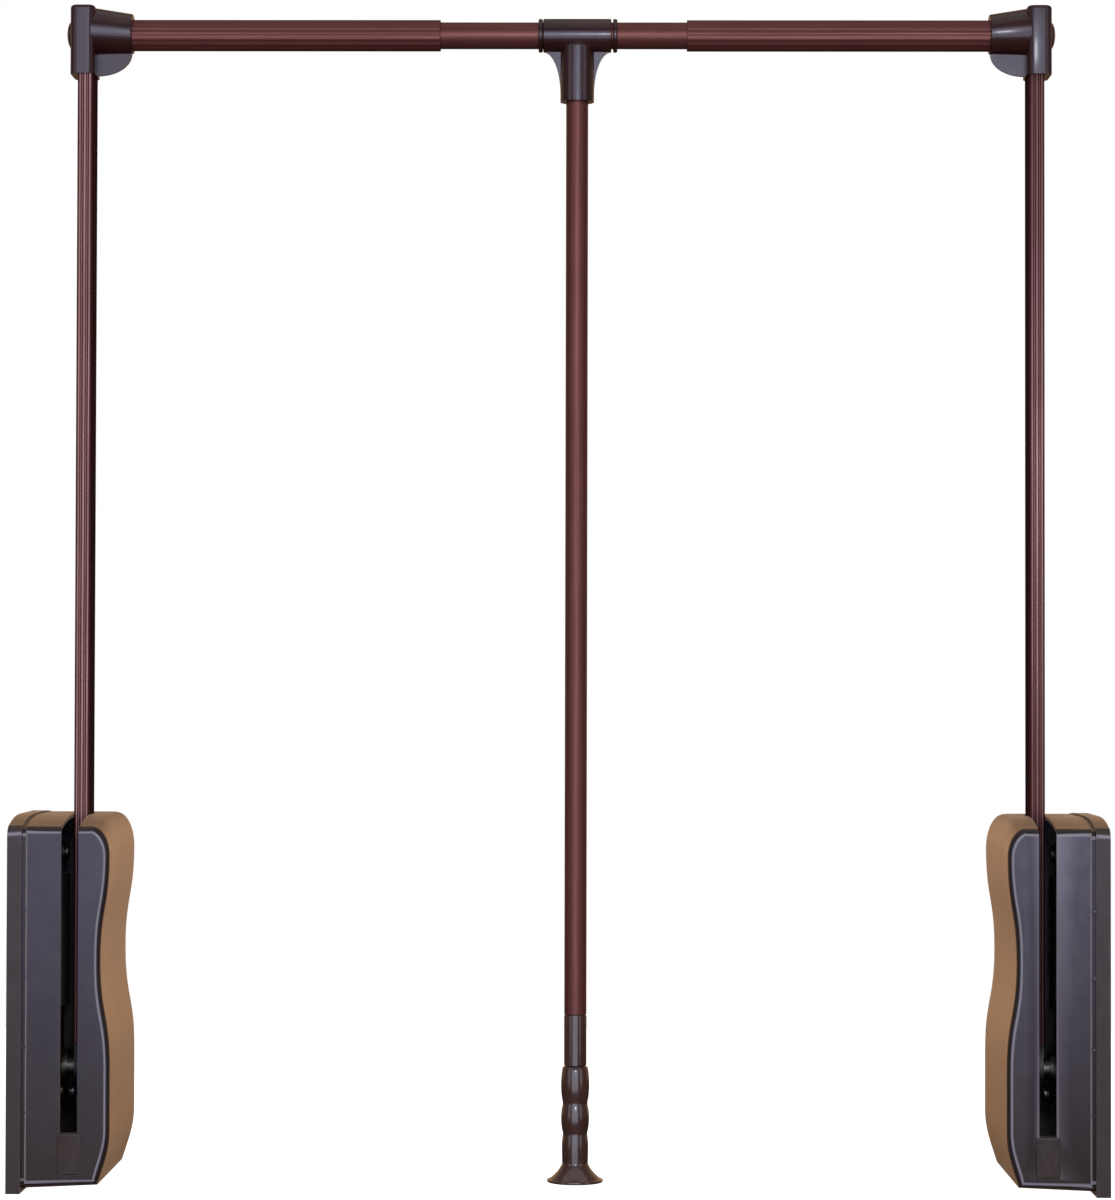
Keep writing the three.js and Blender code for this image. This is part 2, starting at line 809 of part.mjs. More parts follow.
// The strut is drawn upright about its lower eye; its group leans it to the anchor
const strutEye = (z, pinRadius) => ({
  ring: movedTo(rod("x", strutEyeRadius, -strutEyeWidth / 2, strutEyeWidth / 2), 0, 0, z),
  hole: movedTo(rod("x", pinRadius + runGap, -strutEyeWidth, strutEyeWidth), 0, 0, z),
});

function makeStrutRod() {
  const eye = strutEye(0, crankPinRadius);
  const pistonStart = barrelAboveEye + barrelEndWall + pistonGap;
  const pistonEnd = pistonStart + pistonLength;
  const shaft = turned("z", [
    [0, 0],
    [strutRodRadius, 0],
    [strutRodRadius, pistonStart],
    [pistonRadius, pistonStart],
    [pistonRadius, pistonEnd],
    [0, pistonEnd],
  ]);
  return cut(join(eye.ring, shaft), eye.hole);
}

function makeStrutBarrel() {
  const eye = strutEye(strutLength, anchorPinRadius);
  const barrelStart = barrelAboveEye;
  const barrelEnd = strutLength - barrelBelowAnchor;
  const body = turned("z", [
    [0, barrelStart],
    [barrelRadius, barrelStart],
    [barrelRadius, barrelEnd],
    [barrelNeckRadius, barrelEnd],
    [barrelNeckRadius, strutLength],
    [0, strutLength],
  ]);
  const chamber = rod("z", barrelBore, barrelStart + barrelEndWall, barrelEnd - barrelEndWall);
  const gland = rod(
    "z", strutRodRadius + runGap, barrelStart - overrun, barrelStart + barrelEndWall + overrun,
  );
  return cut(join(body, eye.ring), chamber, gland, eye.hole);
}

function makeAnchorPin() {
  const collarStart = wallCheekEnd + seatGap;
  const collarEnd = strutInset - strutEyeWidth / 2 - seatGap;
  const headStart = strutInset + strutEyeWidth / 2 + seatGap;
  const headEnd = headStart + anchorHeadHeight;
  const tip = wallCheekStart + seatGap;
  const profile = [
    [0, tip],
    [anchorPinRadius, tip],
    [anchorPinRadius, collarStart],
    [anchorCollarRadius, collarStart],
    [anchorCollarRadius, collarEnd],
    [anchorPinRadius, collarEnd],
    [anchorPinRadius, headStart],
    [anchorCollarRadius, headStart],
    [anchorCollarRadius, headEnd],
    [0, headEnd],
  ];
  return movedTo(turned("x", profile), 0, strutAnchorY, strutAnchorHeight);
}

// The connector's rod barrel: a cone whose underside stays level
function makeRodBarrel() {
  const root = sleeveEnd - rodBarrelInSleeve;
  const run = rodBarrelEnd - root;
  const cone = new THREE.LatheGeometry(
    [
      new THREE.Vector2(0, 0),
      new THREE.Vector2(rodBarrelRootRadius, 0),
      new THREE.Vector2(rodBarrelEndRadius, run - rodBarrelLip),
      new THREE.Vector2(rodBarrelEndRadius - rodBarrelLip, run),
      new THREE.Vector2(0, run),
    ],
    fine,
  );
  cone.rotateZ(-Math.PI / 2);
  const slope = (rodBarrelEndRise - rodBarrelRootRise) / run;
  const shear = new THREE.Matrix4().makeShear(0, slope, 0, 0, 0, 0);
  cone.applyMatrix4(shear);
  return movedTo(solid(cone), root, 0, rodHeight + rodBarrelRootRise);
}

function makeConnector() {
  const sleeve = pulled(
    "z",
    roundedRectangle(sleeveStart, sleeveEnd, -sleeveHalfDepth, sleeveHalfDepth, sleeveCorner),
    sleeveLow - sleeveTopBevel,
    sleeveHigh,
    sleeveTopBevel,
  );
  const below = block(
    [sleeveStart - overrun, sleeveEnd + overrun],
    [-sleeveHalfDepth - overrun, sleeveHalfDepth + overrun],
    [sleeveLow - sleeveTopBevel - overrun, sleeveLow],
  );
  const finOutline = new THREE.Shape();
  const finTop = rodHeight + rodBarrelEndRise - rodBarrelEndRadius;
  finOutline.moveTo(armInset, rodHeight);
  finOutline.lineTo(armInset, sleeveLow);
  finOutline.absellipse(
    sleeveEnd, finTop, rodBarrelEnd - sleeveEnd, finTop - sleeveLow, 1.5 * Math.PI, 2 * Math.PI,
  );
  finOutline.lineTo(rodBarrelEnd, finTop + rodBarrelLip);
  finOutline.lineTo(sleeveEnd, rodHeight);
  const fin = pulled("y", finOutline, -finThickness / 2, finThickness / 2);
  const armSocket = pulled(
    "z",
    flatOval(armInset, armWidth / 2 + seatGap, armEdgeCentre),
    sleeveLow - overrun,
    armTopHeight + seatGap,
  );
  const rodSocket = movedTo(
    rod("x", outerTubeRadius + seatGap, rodSocketFloor, rodBarrelEnd + overrun, fine),
    0, 0, rodHeight,
  );
  const boltHole = movedTo(
    rod("x", connectorBoltRadius + seatGap, sleeveStart - overrun, rodSocketFloor + overrun),
    0, 0, rodHeight,
  );
  const capPocket = movedTo(
    rod("x", capPocketRadius, sleeveStart - overrun, sleeveStart + capPocketDepth),
    0, 0, rodHeight,
  );
  const body = join(cut(sleeve, below), makeRodBarrel(), fin);
  return cut(body, armSocket, rodSocket, boltHole, capPocket);
}

function makeCap() {
  const back = sleeveStart - seatGap;
  const spigotRadius = capPocketRadius - seatGap;
  const dome = Array.from({ length: curveSteps + 1 }, (_, i) => {
    const turn = (i / curveSteps) * (Math.PI / 2);
    return [capRadius * Math.sin(turn), back - capDome * Math.cos(turn)];
  });
  const profile = [
    ...dome,
    [spigotRadius, back],
    [spigotRadius, back + capSpigot],
    [0, back + capSpigot],
  ];
  return movedTo(turned("x", profile), 0, 0, rodHeight);
}

function makeConnectorBolt() {
  const headEnd = sleeveStart + capPocketDepth - seatGap;
  const headStart = headEnd - connectorBoltHeadHeight;
  const tip = headEnd + connectorBoltLength;
  const profile = [
    [0, headStart],
    [connectorBoltHead, headStart],
    [connectorBoltHead, headEnd],
    [connectorBoltRadius, headEnd],
    [connectorBoltRadius, tip],
    [0, tip],
  ];
  return movedTo(turned("x", profile), 0, 0, rodHeight);
}

// Rod tube section in (y, z): shallow flutes all round
function flutedCircle(radius, depth, flutes) {
  const levelShares = [1, 0, 0, 1];
  const count = flutes * levelShares.length;
  const points = Array.from({ length: count }, (_, i) => {
    const turn = (i / count) * 2 * Math.PI;
    const at = radius - depth * levelShares[i % levelShares.length];
    return new THREE.Vector2(at * Math.cos(turn), at * Math.sin(turn));
  });
  return new THREE.Shape(points);
}

function makeOuterTube(start) {
  const end = start + outerTubeLength;
  return movedTo(
    cut(
      pulled("x", flutedCircle(outerTubeRadius, outerFluteDepth, outerFlutes), start, end),
      rod("x", outerTubeBore, start - overrun, end + overrun, fine),
    ),
    0, 0, rodHeight,
  );
}

const makeRodPlug = (start) =>
  movedTo(
    pipe(
      "x", outerTubeBore - seatGap, connectorBoltRadius + seatGap, start, start + plugLength, fine,
    ),
    0, 0, rodHeight,
  );

// One side, from its wall inwards
function makeSide(prefix, rodSlack) {
  const rodStart = rodSocketFloor + rodSlack;
  const housing = new THREE.Group();
  housing.add(
    piece(`${prefix}_base_tray`, makeTray(), housingPlastic()),
    piece(`${prefix}_side_cover`, makeCover(), housingPlastic()),
    piece(`${prefix}_stop_buffer`, makeBuffer(), bufferRubber()),
    piece(`${prefix}_mechanism_bracket`, makeBracket(), steel()),
    piece(`${prefix}_bracket_screw_upper`, makeBracketScrew(upperScrewAt), steel()),
    piece(`${prefix}_bracket_screw_lower`, makeBracketScrew(lowerScrewAt), steel()),
    piece(`${prefix}_pivot_bolt`, makePivotBolt(), steel()),
    piece(`${prefix}_pivot_nut`, makePivotNut(), steel()),
    piece(`${prefix}_pivot_bush`, makePivotBush(), darkSteel()),
    piece(`${prefix}_strut_anchor_pin`, makeAnchorPin(), steel()),
  );
  const strut = new THREE.Group();
  strut.position.set(strutInset, crankPinY, crankPinHeight);
  strut.rotation.x = -strutLean;
  strut.add(
    piece(`${prefix}_strut_barrel`, makeStrutBarrel(), darkSteel()),
    piece(`${prefix}_strut_rod`, makeStrutRod(), steel()),
  );
  const arm = new THREE.Group();
  arm.add(
    piece(`${prefix}_arm_foot`, makeArmFoot(), steel()),
    piece(`${prefix}_foot_rivet`, makeFootRivet(), steel()),
    piece(`${prefix}_crank_lever`, makeCrankLever(), steel()),
    piece(`${prefix}_crank_pin`, makeCrankPin(), steel()),
    piece(`${prefix}_arm_tube`, makeArmTube(), brownAluminium()),
    piece(`${prefix}_corner_connector`, makeConnector(), glossPlastic()),
    piece(`${prefix}_connector_cap`, makeCap(), glossPlastic()),
    piece(`${prefix}_connector_bolt`, makeConnectorBolt(), steel()),
    piece(`${prefix}_rod_plug`, makeRodPlug(rodStart), nylon()),
    piece(`${prefix}_outer_tube`, makeOuterTube(rodStart), brownAluminium()),
  );
  const side = new THREE.Group();
  side.add(housing, strut, arm);
  return side;
}

function makeTee() {
  const half = teeBarrelLength / 2;
  const barrel = movedTo(
    turned(
      "x",
      [
        [0, -half],
        [teeBarrelRadius - teeEndBevel, -half],
        [teeBarrelRadius, teeEndBevel - half],
        [teeBarrelRadius, half - teeEndBevel],
        [teeBarrelRadius - teeEndBevel, half],
        [0, half],
      ],
      fine,
    ),
    0, 0, rodHeight,
  );
  const domeTop = rodHeight - teeSocketDomeBelowAxis;
  const domeStart = domeTop - teeSocketDome;
  const dome = Array.from({ length: curveSteps + 1 }, (_, i) => {
    const turn = (i / curveSteps) * (Math.PI / 2);
    return [teeSocketRadius * Math.cos(turn), domeStart + teeSocketDome * Math.sin(turn)];
  });
  dome.at(-1)[0] = 0;
  const socket = movedTo(
    turned("z", [[0, teeSocketLow], [teeSocketRadius, teeSocketLow], ...dome], fine),
    0, -teeSocketForward, 0,
  );
  const webTop = rodHeight - teeWebTopBelowAxis;
  const webLow = rodHeight - teeWebFootBelowAxis;
  const webFoot = teeSocketRadius;
  const webOutline = new THREE.Shape();
  webOutline.moveTo(-teeWebSpan, rodHeight);
  webOutline.lineTo(-teeWebSpan, webTop);
  webOutline.absellipse(
    -teeWebSpan, webLow, teeWebSpan - webFoot, webTop - webLow, Math.PI / 2, 0, true,
  );
  webOutline.lineTo(-webFoot, teeSocketLow);
  webOutline.lineTo(webFoot, teeSocketLow);
  webOutline.absellipse(
    teeWebSpan, webLow, teeWebSpan - webFoot, webTop - webLow, Math.PI, Math.PI / 2, true,
  );
  webOutline.lineTo(teeWebSpan, rodHeight);
  const webs = pulled("y", webOutline, -teeWebThickness / 2, teeWebThickness / 2);
  const rodBore = movedTo(
    rod("x", innerTubeRadius + runGap, -half - overrun, half + overrun, fine), 0, 0, rodHeight,
  );
  const poleBore = rod(
    "z", poleRadius + seatGap, teeSocketLow - overrun, rodHeight - teeSocketFloorBelowAxis, fine,
  );
  const screwHole = movedTo(
    rod("y", teeScrewRadius + seatGap, 0, teeSocketRadius + overrun, screwSteps),
    0, 0, teeScrewHeight,
  );
  return cut(join(barrel, socket, webs), rodBore, poleBore, screwHole);
}

function makeTeeScrew() {
  const headStart = teeSocketRadius - teeSocketForward + seatGap;
  const headEnd = headStart + teeScrewHeadHeight;
  const tip = headStart - teeScrewLength;
  const profile = [
    [0, tip],
    [teeScrewRadius, tip],
    [teeScrewRadius, headStart],
    [teeScrewHead, headStart],
    [teeScrewHead, (headStart + headEnd) / 2],
    [teeScrewHead / 2, headEnd],
    [0, headEnd],
  ];
  return movedTo(turned("y", profile, screwSteps), 0, 0, teeScrewHeight);
}

function makeRing(start) {
  const bore = innerTubeRadius + seatGap;
  const end = start + ringWidth;
  const profile = [
    [bore, start],
    [ringRadius - ringBevel, start],
    [ringRadius, start + ringWidth / 2],
    [ringRadius - ringBevel, end],
    [bore, end],
    [bore, start],
  ];
  return movedTo(turned("x", profile, fine), 0, 0, rodHeight);
}

function makePole() {
  const low = ferruleTop + seatGap;
  const high = rodHeight - teeSocketFloorBelowAxis - seatGap;
  const screwHole = movedTo(
    rod("y", teeScrewRadius + seatGap, 0, poleRadius + overrun, screwSteps), 0, 0, teeScrewHeight,
  );
  return cut(pipe("z", poleRadius, poleRadius - poleWall, low, high, fine), screwHole);
}

function makeFerrule() {
  const upperRadius = poleRadius - poleWall - seatGap;
  return turned(
    "z",
    [
      [0, ferruleLow - ferruleLowerSpigot],
      [ferruleLowerRadius, ferruleLow - ferruleLowerSpigot],
      [ferruleLowerRadius, ferruleLow],
      [ferruleRadius, ferruleLow],
      [ferruleRadius, ferruleTop],
      [upperRadius, ferruleTop],
      [upperRadius, ferruleTop + ferruleUpperSpigot],
      [0, ferruleTop + ferruleUpperSpigot],
    ],
    fine,
  );
}

// One swelling of the grip, from its upper neck down, as [radius, height] points
function gripSwelling(radius, [upperRadius, top], [lowerRadius, bottom]) {
  return Array.from({ length: gripSteps }, (_, i) => {
    const share = i / gripSteps;
    const neck = upperRadius + (lowerRadius - upperRadius) * share;
    const swell = Math.sqrt(Math.sin(Math.PI * share));
    return [neck + (radius - neck) * swell, top + (bottom - top) * share];
  });
}

// The grip: three swellings above a foot that flares out to a thin rim
function makeGrip() {
  const crown = [gripTopRadius, gripTop];
  const upperWaist = [gripNeckRadius, gripUpperWaist];
  const lowerWaist = [gripNeckRadius, gripLowerWaist];
  const neck = [gripLowNeckRadius, gripFlareTop];
  const flareRun = gripFlareRadius - gripLowNeckRadius;
  const flareDrop = gripFlareTop - gripRimHeight;
  const profile = [
    [0, gripTop],
    ...gripSwelling(gripUpperRadius, crown, upperWaist),
    ...gripSwelling(gripMiddleRadius, upperWaist, lowerWaist),
    ...gripSwelling(gripLowerRadius, lowerWaist, neck),
    neck,
    [
      gripLowNeckRadius + flareRun * gripFlareMiddleShares.radius,
      gripFlareTop - flareDrop * gripFlareMiddleShares.height,
    ],
    [gripFlareRadius, gripRimHeight],
    [gripRimRadius, gripRimHeight],
    [gripRimRadius, 0],
    [gripRecessRadius + gripRecess, 0],
    [gripRecessRadius, gripRecess],
    [0, gripRecess],
  ];
  const boreDepth = ferruleLowerSpigot + seatGap;
  const bore = rod("z", ferruleLowerRadius + seatGap, gripTop - boreDepth, gripTop + overrun);
  return cut(turned("z", profile, fine), bore);
}

// The middle: the inner tube with its rings, and the pull pole on its tee
function makeMiddle() {
  const halfTube = innerTubeLength / 2;
  const halfTee = teeBarrelLength / 2;
  const middle = new THREE.Group();
  middle.position.x = teeCentre;
  middle.add(
    piece(
      "inner_tube",
      movedTo(
        pipe("x", innerTubeRadius, innerTubeRadius - innerTubeWall, -halfTube, halfTube, fine),
        0, 0, rodHeight,
      ),
      brownAluminium(),
    ),
    piece("tee_ring_left", makeRing(-halfTee - seatGap - ringWidth), glossPlastic()),
    piece("tee_ring_right", makeRing(halfTee + ringPlay), glossPlastic()),
    piece("tee_connector", makeTee(), glossPlastic()),
    piece("tee_screw", makeTeeScrew(), steel()),
    piece("pole_tube", makePole(), brownAluminium()),
    piece("handle_ferrule", makeFerrule(), glossPlastic()),
    piece("handle_grip", makeGrip(), glossPlastic()),
  );
  return middle;
}

const left = makeSide("left", leftRodSlack);
left.position.x = -openingWidth / 2;
const right = makeSide("right", rightRodSlack);
right.position.x = openingWidth / 2;
right.scale.x = -1;

const closetRod = new THREE.Group();
closetRod.add(left, right, makeMiddle());

export default closetRod;
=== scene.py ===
"""Pull down closet rod: the look of every piece, laid over its plain solid.

Metres. X runs from the left wall to the right wall, Y to the back of the closet, Z up.
Pieces of one side are drawn from its wall face inwards, then set on the left or the right wall.
"""

import json
from math import cos, pi, radians, sin, sqrt, tau

import bmesh
import bpy
from mathutils import Matrix, Vector

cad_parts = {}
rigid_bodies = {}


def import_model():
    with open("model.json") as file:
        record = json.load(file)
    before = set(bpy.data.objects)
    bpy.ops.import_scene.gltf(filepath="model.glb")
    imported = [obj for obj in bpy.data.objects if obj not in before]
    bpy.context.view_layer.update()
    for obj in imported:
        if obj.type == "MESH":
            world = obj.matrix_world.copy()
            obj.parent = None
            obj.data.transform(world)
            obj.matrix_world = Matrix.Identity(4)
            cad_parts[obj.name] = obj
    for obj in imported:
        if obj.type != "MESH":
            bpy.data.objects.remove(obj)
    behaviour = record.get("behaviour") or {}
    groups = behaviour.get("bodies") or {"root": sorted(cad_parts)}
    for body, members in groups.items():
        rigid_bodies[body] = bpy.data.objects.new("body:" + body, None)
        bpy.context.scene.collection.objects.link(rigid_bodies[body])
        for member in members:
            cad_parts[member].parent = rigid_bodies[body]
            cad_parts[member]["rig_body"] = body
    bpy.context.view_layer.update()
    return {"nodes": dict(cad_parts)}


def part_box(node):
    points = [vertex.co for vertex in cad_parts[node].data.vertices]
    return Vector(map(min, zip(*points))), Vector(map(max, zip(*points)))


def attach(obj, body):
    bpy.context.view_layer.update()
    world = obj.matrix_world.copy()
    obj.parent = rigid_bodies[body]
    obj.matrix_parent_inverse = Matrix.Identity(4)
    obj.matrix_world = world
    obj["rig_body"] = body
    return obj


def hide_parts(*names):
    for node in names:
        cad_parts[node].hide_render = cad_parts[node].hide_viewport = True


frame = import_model()

# Camera, fitted to the photograph
PHOTO_HEIGHT = 1200
FOCAL_PIXELS = 3516
SENSOR = 0.036
MILLIMETRES = 1000
CAMERA_PLACE = (0.02068, -2.54658, 0.36609)
CAMERA_PITCH = 0.0211
CAMERA_YAW = -0.0087
CAMERA_ROLL = 0.0022
CAMERA_CLIP = (0.05, 60)

# Side cover
COVER_WALL = 0.0026
COVER_START = 0.013
COVER_FRONT_RADIUS = 0.008
COVER_SIDE_RADIUS = 0.005
CROWN_FRONT_DROP = 0.006
CROWN_REAR_DROP = 0.0015
CROWN_SHARES = (0.4, 0.75)
CROWN_REAR_RADIUS = 0.003
CROWN_RINGS = 14
ROUNDING_ROOM = 0.9
COVER_BOTTOM = 0.0035
COVER_SHOULDER = (0.072, 0.238)
COVER_CORNER_WIDTH = 0.013
COVER_WAIST = (0.0658, 0.164)
COVER_BELLY = 0.0728
COVER_BELLY_TOP = 0.088
COVER_BELLY_BOTTOM = 0.044
COVER_FOOT = (0.064, 0.006)
CORNER_SHARE = 0.55
WAVE_SHARE = 0.5
FOOT_SHARES = (0.62, 0.42, 0.68)
LIP_INSET = 0.0017
LIP_WALL = 0.0022
LIP_START = 0.004
NUB_HALF_HEIGHT = 0.0009
NUB_STAND = 0.0012
NUB_HEIGHTS = (0.057, 0.103, 0.153, 0.2)
SLOT_HALF_WIDTH = 0.0062
NOTCH_GAP = 0.0003
NOTCH_DEPTH = 0.005
BUFFER_FLANGE = 0.002
COVER_EDGE = 0.0008
SEAM_WIDTH = 0.0012
CREVICE_REACH = 0.002
NUB_EDGE = 0.0002

# Arm tube
ARM_WALL = 0.0015
ARM_CORNER = 0.0018
ARM_GROOVE_DEPTH = 0.0005
ARM_GROOVE_POWER = 4

# Corner connector
SLEEVE_CORNER = 0.0055
SLEEVE_TOP_RADIUS = 0.0025
SLEEVE_WIDTH = 0.018
BARREL_ROOT_RADIUS = 0.0171
BARREL_ROOT_RISE = 0.0029
BARREL_IN_SLEEVE = 0.003
BARREL_END_RADIUS = 0.0145
BARREL_END_RISE = 0.001
BARREL_LIP = 0.0008
FIN_THICKNESS = 0.003
ROD_SOCKET_DEPTH = 0.025
CAP_POCKET_RADIUS = 0.008
CAP_POCKET_DEPTH = 0.003
CAP_SPIGOT = 0.001
BOLT_HOLE_RADIUS = 0.0033
MOULD_FILLET = 0.0008

# Telescopic rod
OUTER_FLUTES = 16
OUTER_FLUTE_DEPTH = 0.0003
FLUTE_STEEPNESS = 2
FLUTE_LAND_SHARE = 0.5
OUTER_WALL = 0.00145
INNER_WALL = 0.0012

# Tee and its rings
TEE_RING_DOME_SHARE = 0.6
TEE_END_RADIUS = 0.001
TEE_SOCKET_RADIUS = 0.0122
TEE_SOCKET_FORWARD = 0.001
TEE_DOME_TOP = 0.004
TEE_DOME = 0.005
TEE_WEB_THICKNESS = 0.003
TEE_WEB_SPAN = 0.0245
TEE_WEB_TOP = 0.012
TEE_WEB_FOOT = 0.043
TEE_SOCKET_FLOOR = 0.017
TEE_SCREW_DROP = 0.037
TEE_SCREW_HOLE = 0.0021
BORE_GAP = 0.0003

# Pull pole, ferrule and grip, whose bulges each have a radius, a top and a foot
POLE_WALL = 0.0012
FERRULE_EDGE = 0.0006
FERRULE_SPIGOTS = (0.021, 0.025)
FERRULE_SPIGOT_RADII = (0.0054, 0.0065)
GRIP_BULGES = ((0.0102, 0.0832, 0.0565), (0.0101, 0.0565, 0.035), (0.0095, 0.035, 0.013))
GRIP_TOP_RADIUS = 0.0087
GRIP_NECK_RADIUS = 0.0083
GRIP_LOW_NECK_RADIUS = 0.0093
GRIP_FLARE_RADIUS = 0.0188
GRIP_FLARE_BOW = 0.0012
GRIP_RIM_HEIGHT = 0.0018
GRIP_RECESS = 0.001
GRIP_RECESS_RADIUS = 0.015

# Small roundings, and how far cutters run past what they cut
EDGE = 0.0003
TRAY_EDGE = 0.0009
FOOT_EDGE = 0.0004
PIN_EDGE = 0.0002
RIVET_EDGE = 0.0001
OVERRUN = 0.002

# Points nearer than this are one point, and how thin a turned shape ends
WELD = 1e-6
RING_WELD = 1e-7
TIP_RADIUS = 1e-6

# How finely round things are drawn
ROUND = 64
CURVE = 12
ARC = 6
FLUTE_STEPS = 8
ARM_END_STEPS = 24
FILLET_STEPS = 3

# Edges sharper than these degrees stay crisp
CREASE = 38
TURNED_CREASE = 50
TUBE_CREASE = 60

# Edges sharper than these degrees are rounded
MOULD_BEVEL_FROM = 32
SOLID_BEVEL_FROM = 50
COVER_BEVEL_FROM = 55

# How much more large faces weigh than small ones in smooth shading
FLATNESS = 50
COVER_FLATNESS = 100

WALLS = {
    "left": (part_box("left_base_tray")[0].x, 1),
    "right": (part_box("right_base_tray")[1].x, -1),
}


def local_box(node):
    """The box of a left node, measured from the left wall inwards."""
    low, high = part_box(node)
    wall = Vector((WALLS["left"][0], 0, 0))
    return low - wall, high - wall


COVER_LOW, COVER_HIGH = local_box("left_side_cover")
ARM_LOW, ARM_HIGH = local_box("left_arm_tube")
SLEEVE_LOW, SLEEVE_HIGH = local_box("left_corner_connector")
OUTER_LOW, OUTER_HIGH = local_box("left_outer_tube")
BUFFER_LOW, BUFFER_HIGH = local_box("left_stop_buffer")
CAP_LOW, CAP_HIGH = local_box("left_connector_cap")
INNER_LOW, INNER_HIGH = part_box("inner_tube")
TEE_LOW, TEE_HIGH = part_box("tee_connector")
POLE_LOW, POLE_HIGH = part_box("pole_tube")
ARM_CENTRE = (ARM_LOW.x + ARM_HIGH.x) / 2
ROD_HEIGHT = (OUTER_LOW.z + OUTER_HIGH.z) / 2
OUTER_RADIUS = (OUTER_HIGH.z - OUTER_LOW.z) / 2
INNER_RADIUS = (INNER_HIGH.z - INNER_LOW.z) / 2
TEE_CENTRE = (TEE_LOW.x + TEE_HIGH.x) / 2
TEE_HALF = (TEE_HIGH.x - TEE_LOW.x) / 2
POLE_CENTRE = (POLE_LOW.x + POLE_HIGH.x) / 2
POLE_RADIUS = (POLE_HIGH.x - POLE_LOW.x) / 2


# Meshes from rings of points

def loft(rings, closed_ends):
    """Skins rings that have the same number of points. Each ring is closed."""
    mesh = bmesh.new()
    rows = [[mesh.verts.new(point) for point in ring] for ring in rings]
    for row, above in zip(rows, rows[1:]):
        for i, vert in enumerate(row):
            j = (i + 1) % len(row)
            mesh.faces.new((vert, row[j], above[j], above[i]))
    if closed_ends:
        mesh.faces.new(list(reversed(rows[0])))
        mesh.faces.new(rows[-1])
    return mesh


def outward(mesh):
    """Turns the faces of a closed mesh to look outwards."""
    bmesh.ops.remove_doubles(mesh, verts=mesh.verts, dist=RING_WELD)
    bmesh.ops.recalc_face_normals(mesh, faces=mesh.faces)
    if mesh.calc_volume(signed=True) < 0:
        bmesh.ops.reverse_faces(mesh, faces=mesh.faces)
    return mesh


def along(axis, place, across):
    """A point at a place along an axis, with its other two coordinates in X, Y, Z order."""
    point = list(across)
    point.insert("xyz".index(axis), place)
    return Vector(point)


def solid(rings, closed_ends=True):
    """An object skinned over rings of points."""
    return to_object(outward(loft(rings, closed_ends)))


def prism(axis, outline, start, end):
    """A straight solid of one outline along an axis."""
    return solid([[along(axis, place, point) for point in outline] for place in (start, end)])


def tube(axis, outline, bore, start, end):
    """A tube with small roundings at the outer edge of both ends."""
    shrink = 1 - EDGE / max(Vector(point).length for point in outline)
    sections = [
        (start, 1, bore),
        (start, shrink, outline),
        (start + EDGE, 1, outline),
        (end - EDGE, 1, outline),
        (end, shrink, outline),
        (end, 1, bore),
    ]
    rings = [
        [along(axis, place, (a * scale, b * scale)) for a, b in shape]
        for place, scale, shape in sections
    ]
    return solid(rings + rings[:1], closed_ends=False)


def circle(radius, segments=ROUND):
    turns = [tau * i / segments for i in range(segments)]
    return [(radius * cos(turn), radius * sin(turn)) for turn in turns]


def hoop(axis, radius, place):
    """A round ring of points about an axis."""
    return [along(axis, place, point) for point in circle(radius)]


def turned(axis, profile):
    """A turned shape from a list of (radius, place along the axis)."""
    return solid([hoop(axis, max(radius, TIP_RADIUS), place) for radius, place in profile])


def bar(axis, radius, start, end):
    """A round bar along an axis."""
    return prism(axis, circle(radius), start, end)


def quarter_turns(steps=ARC, quarter=0):
    """Angles through one quarter of a turn."""
    return [pi / 2 * (quarter + i / steps) for i in range(steps + 1)]


def block(low, high):
    outline = [(low[0], low[1]), (high[0], low[1]), (high[0], high[1]), (low[0], high[1])]
    return prism("z", outline, low[2], high[2])


def to_object(mesh):
    data = bpy.data.meshes.new("shape")
    mesh.to_mesh(data)
    mesh.free()
    obj = bpy.data.objects.new("shape", data)
    bpy.context.scene.collection.objects.link(obj)
    return obj


def moved(obj, x=0.0, y=0.0, z=0.0):
    obj.data.transform(Matrix.Translation((x, y, z)))
    return obj


def applied(obj):
    """Makes an object's modifiers part of its mesh."""
    bpy.context.view_layer.update()
    graph = bpy.context.evaluated_depsgraph_get()
    data = bpy.data.meshes.new_from_object(obj.evaluated_get(graph))
    obj.modifiers.clear()
    obj.data = data
    return obj


def combined(operation, first, others):
    for other in others:
        change = first.modifiers.new(operation, "BOOLEAN")
        change.operation = operation
        change.solver = "EXACT"
        change.object = other
        applied(first)
        bpy.data.objects.remove(other)
    return first


def join(first, *others):
    return combined("UNION", first, others)


def cut(first, *others):
    return combined("DIFFERENCE", first, others)


def add_bevel(obj, width, sharper_than, segments=2):
    """Rounds the edges that are sharper than an angle in degrees."""
    bevel = obj.modifiers.new("bevel", "BEVEL")
    bevel.width = width
    bevel.segments = segments
    bevel.limit_method = "ANGLE"
    bevel.angle_limit = radians(sharper_than)
    bevel.use_clamp_overlap = True


def bevelled(obj, width, sharper_than, segments=2):
    add_bevel(obj, width, sharper_than, segments)
    return applied(obj)


def smoothed(obj, sharper_than=CREASE, flatness=FLATNESS, plain_flats=False):
    """Smooth shading with crisp edges above an angle.

    Large faces shade flatter with more flatness, and plain flats keep their own direction.
    """
    mesh = bmesh.new()
    mesh.from_mesh(obj.data)
    bmesh.ops.remove_doubles(mesh, verts=mesh.verts, dist=WELD)
    bmesh.ops.dissolve_degenerate(mesh, edges=mesh.edges, dist=WELD)
    for face in mesh.faces:
        face.smooth = len(face.verts) <= 4 or not plain_flats
    for edge in mesh.edges:
        edge.smooth = len(edge.link_faces) == 2 and edge.calc_face_angle(0) < radians(sharper_than)
    mesh.to_mesh(obj.data)
    mesh.free()
    flats = obj.modifiers.new("flats", "WEIGHTED_NORMAL")
    flats.keep_sharp = True
    flats.weight = flatness
    return obj


